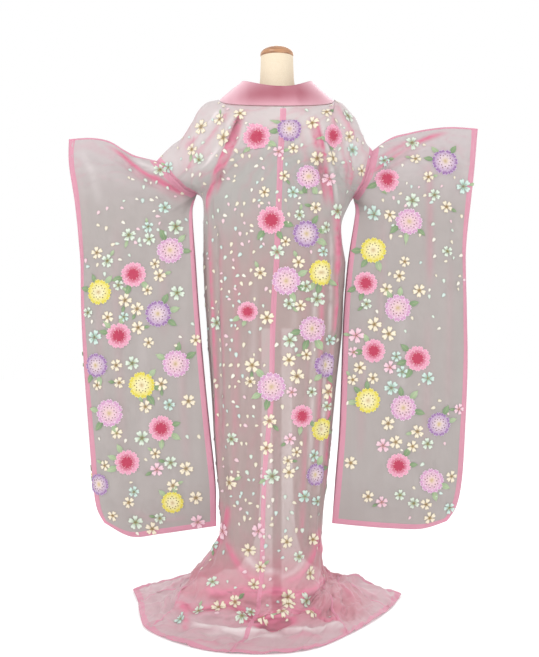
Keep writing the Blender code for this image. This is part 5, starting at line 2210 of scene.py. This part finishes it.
@dataclass
class Uchikake:
    """The garment: its panels, bands, collar and embroidery."""

    body: BodyDrape = field(default_factory=BodyDrape)
    organza: bpy.types.Material = field(
        default_factory=lambda: SheerSilk("organza_dyed", 0.66, roughness=0.54).make())
    trim: bpy.types.Material = field(
        default_factory=lambda: SheerSilk("organza_doubled", 0.60, mottle=0.08).make())
    collar_silk: bpy.types.Material = field(
        default_factory=lambda: SheerSilk("organza_collar", 0.94, mottle=0.05).make())
    silk: bpy.types.Material = field(default_factory=lambda: EmbroiderySilk().make())
    body_dye: BodyDye = BodyDye()
    sleeve_dye: SleeveDye = SleeveDye()
    binding: Band = Band()
    centre_strip: Band = Band(width=0.015, lift=0.0007, style=BandStyle.OVER_SEAM)
    arm_strip: Band = Band(width=0.026, lift=0.0007, style=BandStyle.OVER_SEAM)
    small_seam: Band = Band(width=0.010, lift=0.0007, style=BandStyle.OVER_SEAM)
    fold_line: Band = Band(width=0.0045)

    @property
    def armpit(self) -> float:
        """The armpit's row as a share of the body's rows."""
        return float(np.argmax(self.body.v_rows >= ARMPIT)) / (len(self.body.v_rows) - 1)

    def panel(self, name: str, node: str, grid: ClothGrid,
              dye: Callable[[Array], Array]) -> Cloth:
        """Makes one panel in place of its solid.

        Args:
            name: The piece's name.
            node: The solid that it stands for.
            grid: The cloth.
            dye: Its dye.

        Returns:
            The piece.
        """
        made = shell(name, grid, ORGANZA_PLY, dye, self.organza)
        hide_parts(node)
        LOG.info("%s: %.3f m2 of cloth", name, grid.area())
        return made

    def dressing(self, name: str, slot: str, bands: MeshStock, work: MeshStock) -> list[Cloth]:
        """Makes a panel's bands and its embroidery, each as one piece.

        Args:
            name: Their name, with {} for bands or blossoms.
            slot: Not used.
            bands: The bands.
            work: The embroidery.

        Returns:
            Both pieces.
        """
        pieces = []
        for word, stock, finish in (("bands", bands, self.trim), ("blossoms", work, self.silk)):
            made = stock.piece(name.format(word), finish)
            LOG.info("%s: %d points", made.name, stock.count)
            pieces.append(made)
        return pieces

    def backs(self) -> None:
        """Makes both back panels."""
        grid, middle = self.body.backs, self.body.half_columns
        worked = Embroidery(grid, 101, seam=float(middle))
        for motif in BACK_MOTIFS:
            worked.double_blossom(*motif)
        for stream, *amounts in BACK_STREAMS:
            worked.drift(stream, *amounts)
        lip = Embroidery(grid, 107, floor=True, seam=float(middle), stock=worked.stock,
                         beyond=worked.beyond)
        lip.drift(FLOOR_STREAM, 0.022, 34, 8)
        for side, half, inner, outer, work in (
            (Side.LEFT, grid.part(0, middle + 1), Edge.LAST_COLUMN, Edge.FIRST_COLUMN,
             worked.stock),
            (Side.RIGHT, grid.part(middle, grid.columns), Edge.FIRST_COLUMN, Edge.LAST_COLUMN,
             worked.beyond),
        ):
            half = half.inset(inner)
            cloth = self.panel(f"back_panel_{side.word}", f"back_{side.word}",
                               half, self.body_dye)
            bands = MeshStock()
            self.binding.lay(bands, half, Edge.BOTTOM)
            self.binding.lay(bands, half, outer, 0.02, self.armpit, 0.00015)
            if side is Side.LEFT:
                self.centre_strip.lay(bands, grid, Edge.FIRST_COLUMN, 0.01, 0.995, 0.0002,
                                      float(middle))
            dressing = self.dressing(f"back_{{}}_{side.word}", "organza", bands, work)

    def fronts(self, side: Side) -> None:
        """Makes one front panel.

        Args:
            side: The wearer's side.
        """
        grid, sign = self.body.fronts[side], side.value
        cloth = self.panel(f"front_panel_{side.word}", f"front_{side.word}", grid,
                           self.body_dye)
        bands = MeshStock()
        self.binding.lay(bands, grid, Edge.BOTTOM)
        self.binding.lay(bands, grid, Edge.FIRST_COLUMN, 0.02, self.armpit, 0.00015)
        self.small_seam.lay(bands, grid, Edge.FIRST_COLUMN, self.armpit, 0.995, 0.0002)
        worked = Embroidery(grid, 131 + sign)
        kinds = (Bloom.ROSE, Bloom.LILAC, Bloom.PURPLE, Bloom.YELLOW)
        for k, z in enumerate(np.arange(1.28, 0.16, -0.115)):
            x = sign * (0.145 + 0.022 * math.sin(k * 2.1 + sign))
            worked.double_blossom(x, float(z), kinds[(k + (sign > 0)) % 4], 0.076)
        worked.drift(((sign * 0.14, 1.35), (sign * 0.15, 0.8), (sign * 0.12, 0.2)), 0.04, 150, 90)
        dressing = self.dressing(f"front_{{}}_{side.word}", "organza", bands, worked.stock)

    def overlap(self, side: Side) -> None:
        """Makes one front overlap.

        Args:
            side: The wearer's side.
        """
        grid, sign = self.body.okumi[side], side.value
        cloth = self.panel(f"overlap_{side.word}", f"okumi_{side.word}", grid,
                           self.body_dye)
        bands = MeshStock()
        self.binding.lay(bands, grid, Edge.BOTTOM)
        self.binding.lay(bands, grid, Edge.LAST_COLUMN, 0.16, 1.0, 0.00015)
        self.small_seam.lay(bands, grid, Edge.FIRST_COLUMN, 0.1, 0.995, 0.0002)
        worked = Embroidery(grid, 151 + sign)
        for k, z in enumerate(np.arange(0.78, 0.20, -0.15)):
            x = sign * (0.085 + 0.012 * math.sin(k * 2.6))
            bloom = (Bloom.PURPLE, Bloom.ROSE, Bloom.LILAC)[(k + (sign > 0)) % 3]
            worked.double_blossom(x, float(z), bloom, 0.066)
        worked.drift(((sign * 0.09, 0.95), (sign * 0.08, 0.6), (sign * 0.08, 0.2)), 0.03, 90, 50)
        dressing = self.dressing(f"overlap_{{}}_{side.word}", "organza_front", bands,
                                 worked.stock)
        f"front_panel_{side.word}"

    def sleeve(self, side: Side) -> None:
        """Makes one hanging sleeve.

        Args:
            side: The wearer's side.
        """
        hung, motifs = HangingSleeve(side, self.body), SLEEVE_MOTIFS[side]
        arm = (hung.arm_rows - 1) / (hung.arm_rows + hung.lower_rows - 1)
        for face, grid in hung.faces.items():
            stem = f"sleeve_{side.word}_{face.word}"
            cloth = self.panel(f"{stem}_face", stem, grid, self.sleeve_dye)
            bands = MeshStock()
            self.fold_line.lay(bands, grid, Edge.TOP, 0.02, 1.0)
            self.binding.lay(bands, grid, Edge.LAST_COLUMN, 0.0, 1.0, 0.00012)
            self.binding.lay(bands, grid, Edge.BOTTOM, 0.0, 1.0)
            self.binding.lay(bands, grid, Edge.FIRST_COLUMN, arm * 1.03, 1.0, 0.00012)
            self.arm_strip.lay(bands, grid, Edge.FIRST_COLUMN, 0.03, arm, 0.0002, 2.0)
            worked = Embroidery(grid, 171 + 3 * side.value + face.value)
            shift = 0 if face is Face.BACK else 1
            for k, (x, z, _, width) in enumerate(motifs):
                bloom = motifs[(k + shift) % len(motifs)].bloom
                worked.double_blossom(x, z + 0.02 * shift, bloom, width)
            worked.drift(SLEEVE_STREAMS[side], 0.062, 200, 50)
            worked.drift(SLEEVE_PETALS[side], 0.045, 4, 70)
            dressing = self.dressing(f"{stem}_{{}}", "organza", bands, worked.stock)
            f"back_panel_{side.word}"

    def collar(self) -> None:
        """Makes the collar."""
        band = CollarBand(self.body)
        made = shell("collar_band", band.grid, COLLAR_PLY, band.dye, self.collar_silk)
        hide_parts("collar")
        LOG.info("collar_band: %.3f m2 of cloth", band.grid.area())

    def build(self) -> None:
        """Makes the whole garment."""
        self.backs()
        for side in Side:
            self.fronts(side)
            self.overlap(side)
            self.sleeve(side)
        self.collar()


@dataclass
class DressForm:
    """The limbless dress form: jersey over a padded body, turned cap, pole and round base."""

    sections: tuple[Waist, ...] = table(
        Waist,
        (1.574, 0.046, 0.046, 0.000), (1.540, 0.047, 0.047, 0.000), (1.490, 0.051, 0.051, 0.000),
        (1.455, 0.064, 0.058, -0.004), (1.432, 0.108, 0.068, -0.008),
        (1.408, 0.148, 0.078, -0.012), (1.375, 0.174, 0.088, -0.010),
        (1.330, 0.180, 0.096, -0.006), (1.270, 0.170, 0.106, 0.000), (1.195, 0.156, 0.116, 0.006),
        (1.110, 0.138, 0.106, 0.004), (1.020, 0.118, 0.090, 0.000), (0.930, 0.136, 0.098, -0.004),
        (0.860, 0.150, 0.108, -0.006), (0.800, 0.150, 0.108, -0.006),
    )
    cap_top: float = 1.604
    cap_radius: float = 0.0475
    pole_radius: float = 0.015
    base_radius: float = 0.120
    base_top: float = 0.016
    rows: int = 113
    sides: int = 96
    seam_depth: float = 0.0009
    seam_width: float = 0.0045
    waist_seam_width: float = 0.0035
    seam_angles: tuple[float, ...] = (0.0, 58.0, 90.0, 122.0, 180.0, 238.0, 270.0, 302.0)
    seam_levels: tuple[float, ...] = (1.020, 1.512)
    jersey: FormFinish = FormFinish(
        "form_jersey", srgb(228, 213, 190), srgb(220, 204, 178), (420.0, 420.0, 420.0), 0.86)
    wood: FormFinish = FormFinish(
        "form_wood", srgb(190, 140, 100), srgb(142, 96, 66), (26.0, 26.0, 260.0), 0.34, coat=0.3)
    steel: FormFinish = FormFinish(
        "form_steel", srgb(200, 200, 203), srgb(178, 178, 182), (60.0, 60.0, 900.0), 0.32,
        metallic=1.0)

    def torso(self) -> Cloth:
        """Makes the padded body with its seams drawn in.

        Returns:
            The piece.
        """
        place = np.linspace(0, len(self.sections) - 1, self.rows)
        angles = np.linspace(0, 2 * math.pi, self.sides, endpoint=False)
        z, half_width, half_depth, y = (
            column(self.sections, name, place)[:, None] for name in Waist._fields)
        groove = np.zeros((self.rows, self.sides))
        for degrees in self.seam_angles:
            apart = np.abs((angles - math.radians(degrees) + math.pi) % (2 * math.pi) - math.pi)
            groove += swell(apart * half_width, self.seam_width) * self.seam_depth
        groove *= ease((1.50 - z) / 0.03)
        for level in self.seam_levels:
            groove += swell(z - level, self.waist_seam_width) * self.seam_depth
        points = np.stack([
            (half_width - groove) * np.cos(angles), y + (half_depth - groove) * np.sin(angles),
            np.broadcast_to(z, groove.shape),
        ], -1)
        return self.closed("dress_form_body", points, self.jersey.make())

    def turned(self, name: str, profile: Sequence[Pair], finish: bpy.types.Material) -> Cloth:
        """Makes a turned piece.

        Args:
            name: The piece's name.
            profile: Radii and heights, from top to bottom.
            finish: Its material.

        Returns:
            The piece.
        """
        angles = np.linspace(0, 2 * math.pi, self.sides, endpoint=False)
        radius, z = np.array(profile).T[:, :, None]
        points = np.stack([radius * np.cos(angles), radius * np.sin(angles),
                           np.broadcast_to(z, (len(profile), self.sides))], -1)
        return self.closed(name, points, finish)

    @staticmethod
    def closed(name: str, rings: Array, finish: bpy.types.Material) -> Cloth:
        """Makes a closed solid from rings of points, from top to bottom.

        Args:
            name: The piece's name.
            rings: Its points, ring by ring.
            finish: Its material.

        Returns:
            The piece.
        """
        count, sides = rings.shape[:2]
        total = count * sides
        ring = np.arange(sides)
        ahead, low = (ring + 1) % sides, total - sides
        start = sides * np.arange(count - 1)[:, None]
        quads = np.stack([start + ring, start + sides + ring, start + sides + ahead,
                          start + ahead], -1).reshape(-1, 4)
        top = np.stack([np.full(sides, total), ring, ahead], -1)
        bottom = np.stack([np.full(sides, total + 1), low + ahead, low + ring], -1)
        points = np.concatenate([rings.reshape(-1, 3), rings[[0, -1]].mean(1)])
        stock, faces = MeshStock(), [quads, top, bottom]
        stock.add(points, faces, np.ones((sum(group.size for group in faces), 3)),
                  points[:, [0, 2]])
        made = stock.piece(name, finish)
        made.data.set_sharp_from_angle(angle=math.radians(38))
        return made

    def build(self) -> None:
        """Makes the whole form in place of its solids."""
        neck, low = self.sections[0].z + SEAM_GAP, self.base_top + SEAM_GAP
        shoulder, radius, wide = low + 0.045, self.pole_radius, self.base_radius
        rise = self.cap_top - neck - 0.006
        rim = [(self.cap_radius * math.cos(a), neck + 0.006 + rise * math.sin(a))
               for a in np.linspace(math.pi / 2 - 0.05, 0.0, 14)]
        foot = [(self.cap_radius, neck + 0.002), (self.cap_radius - 0.0015, neck)]
        edge = [(wide - 0.004 + 0.004 * math.cos(a), 0.004 + 0.004 * math.sin(a))
                for a in np.linspace(1.2, -math.pi / 2, 10)]
        body = self.torso()
        cap = self.turned("dress_form_cap", rim + foot, self.wood.make())
        steel = self.steel.make()
        pole = self.turned("dress_form_pole", [
            (radius - 0.002, self.sections[-1].z - SEAM_GAP), (radius - 0.002, shoulder + 0.001),
            (radius - 0.001, shoulder), (radius, shoulder - 0.002), (radius, low),
        ], steel)
        base = self.turned("dress_form_base", [
            (0.024, self.base_top), (0.030, self.base_top - 0.0006),
            (0.040, self.base_top - 0.002), (0.090, 0.0105), *edge,
        ], steel)
        for piece, node, slot in ((body, "form_torso", "linen"), (cap, "form_neck_cap", "wood"),
                                  (pole, "form_pole", "steel"), (base, "form_base", "steel")):
            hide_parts(node)
            LOG.info("%s: %d points", piece.name, len(piece.data.vertices))


@dataclass(frozen=True)
class Softbox:
    """A soft light: where it is, how wide, how strong, and what it points at."""

    name: str
    place: tuple[float, float, float]
    width: float
    power: float
    aim: tuple[float, float, float] = (0.0, 0.0, 0.8)


@dataclass
class Studio:
    """A pale floor, soft light and the camera."""

    floor_radius: float = 14.0
    floor_sides: int = 96
    floor_colour: Colour = (0.90, 0.90, 0.90)
    floor_glow: float = 0.14
    floor_drop: float = 0.0005
    surround: Colour = (1.0, 1.0, 1.0)
    surround_strength: float = 1.0
    camera_place: tuple[float, float, float] = (-0.0105, -2.898, 0.80)
    lens: float = 57.68
    sensor: float = 36.0
    lights: tuple[Softbox, ...] = (
        Softbox("key", (-2.4, -3.2, 3.2), 2.2, 60.0),
        Softbox("fill", (2.8, -2.8, 1.9), 2.6, 25.0),
        Softbox("back", (0.6, 3.2, 2.8), 2.4, 40.0),
    )

    def floor(self) -> None:
        """Lays the floor."""
        angles = np.linspace(0, 2 * math.pi, self.floor_sides, endpoint=False)
        rim = [(self.floor_radius * math.cos(a), self.floor_radius * math.sin(a), 0.0)
               for a in angles]
        mesh = bpy.data.meshes.new("studio_floor")
        mesh.from_pydata(rim, [], [list(range(len(rim)))])
        paper = Recipe("studio_paper", Base_Color=(*self.floor_colour, 1.0), Roughness=0.9,
                       Emission_Color=(1.0, 1.0, 1.0, 1.0), Emission_Strength=self.floor_glow)
        mesh.materials.append(paper.material)
        made = bpy.data.objects.new("studio_floor", mesh)
        made.location.z = -self.floor_drop
        bpy.context.scene.collection.objects.link(made)

    def light(self) -> None:
        """Sets the surround and the soft lights."""
        world = bpy.data.worlds.new("studio")
        world.use_nodes = True
        Recipe.fill(world.node_tree.nodes["Background"], {
            "Color": (*self.surround, 1.0), "Strength": self.surround_strength})
        bpy.context.scene.world = world
        for box in self.lights:
            data = bpy.data.lights.new(box.name, "AREA")
            data.size = box.width
            data.energy = box.power
            lamp = bpy.data.objects.new(box.name, data)
            lamp.location = box.place
            aim = Vector(box.aim) - Vector(box.place)
            lamp.rotation_euler = aim.to_track_quat("-Z", "Y").to_euler()
            bpy.context.scene.collection.objects.link(lamp)

    def camera(self) -> None:
        """Sets the camera, with plain colour."""
        bpy.context.scene.view_settings.view_transform = "Standard"
        data = bpy.data.cameras.new("camera")
        data.lens = self.lens
        data.sensor_width = self.sensor
        made = bpy.data.objects.new("camera", data)
        made.location = self.camera_place
        made.rotation_euler = (math.pi / 2, 0.0, 0.0)
        bpy.context.scene.collection.objects.link(made)
        bpy.context.scene.camera = made

    def build(self) -> None:
        """Sets the whole studio."""
        self.camera()
        self.floor()
        self.light()


def main() -> None:
    """Builds the studio, the dress form and the garment."""
    logging.basicConfig(level=logging.INFO, format="%(name)s %(message)s")
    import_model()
    Studio().build()
    DressForm().build()
    Uchikake().build()


if __name__ == "__main__":
    main()
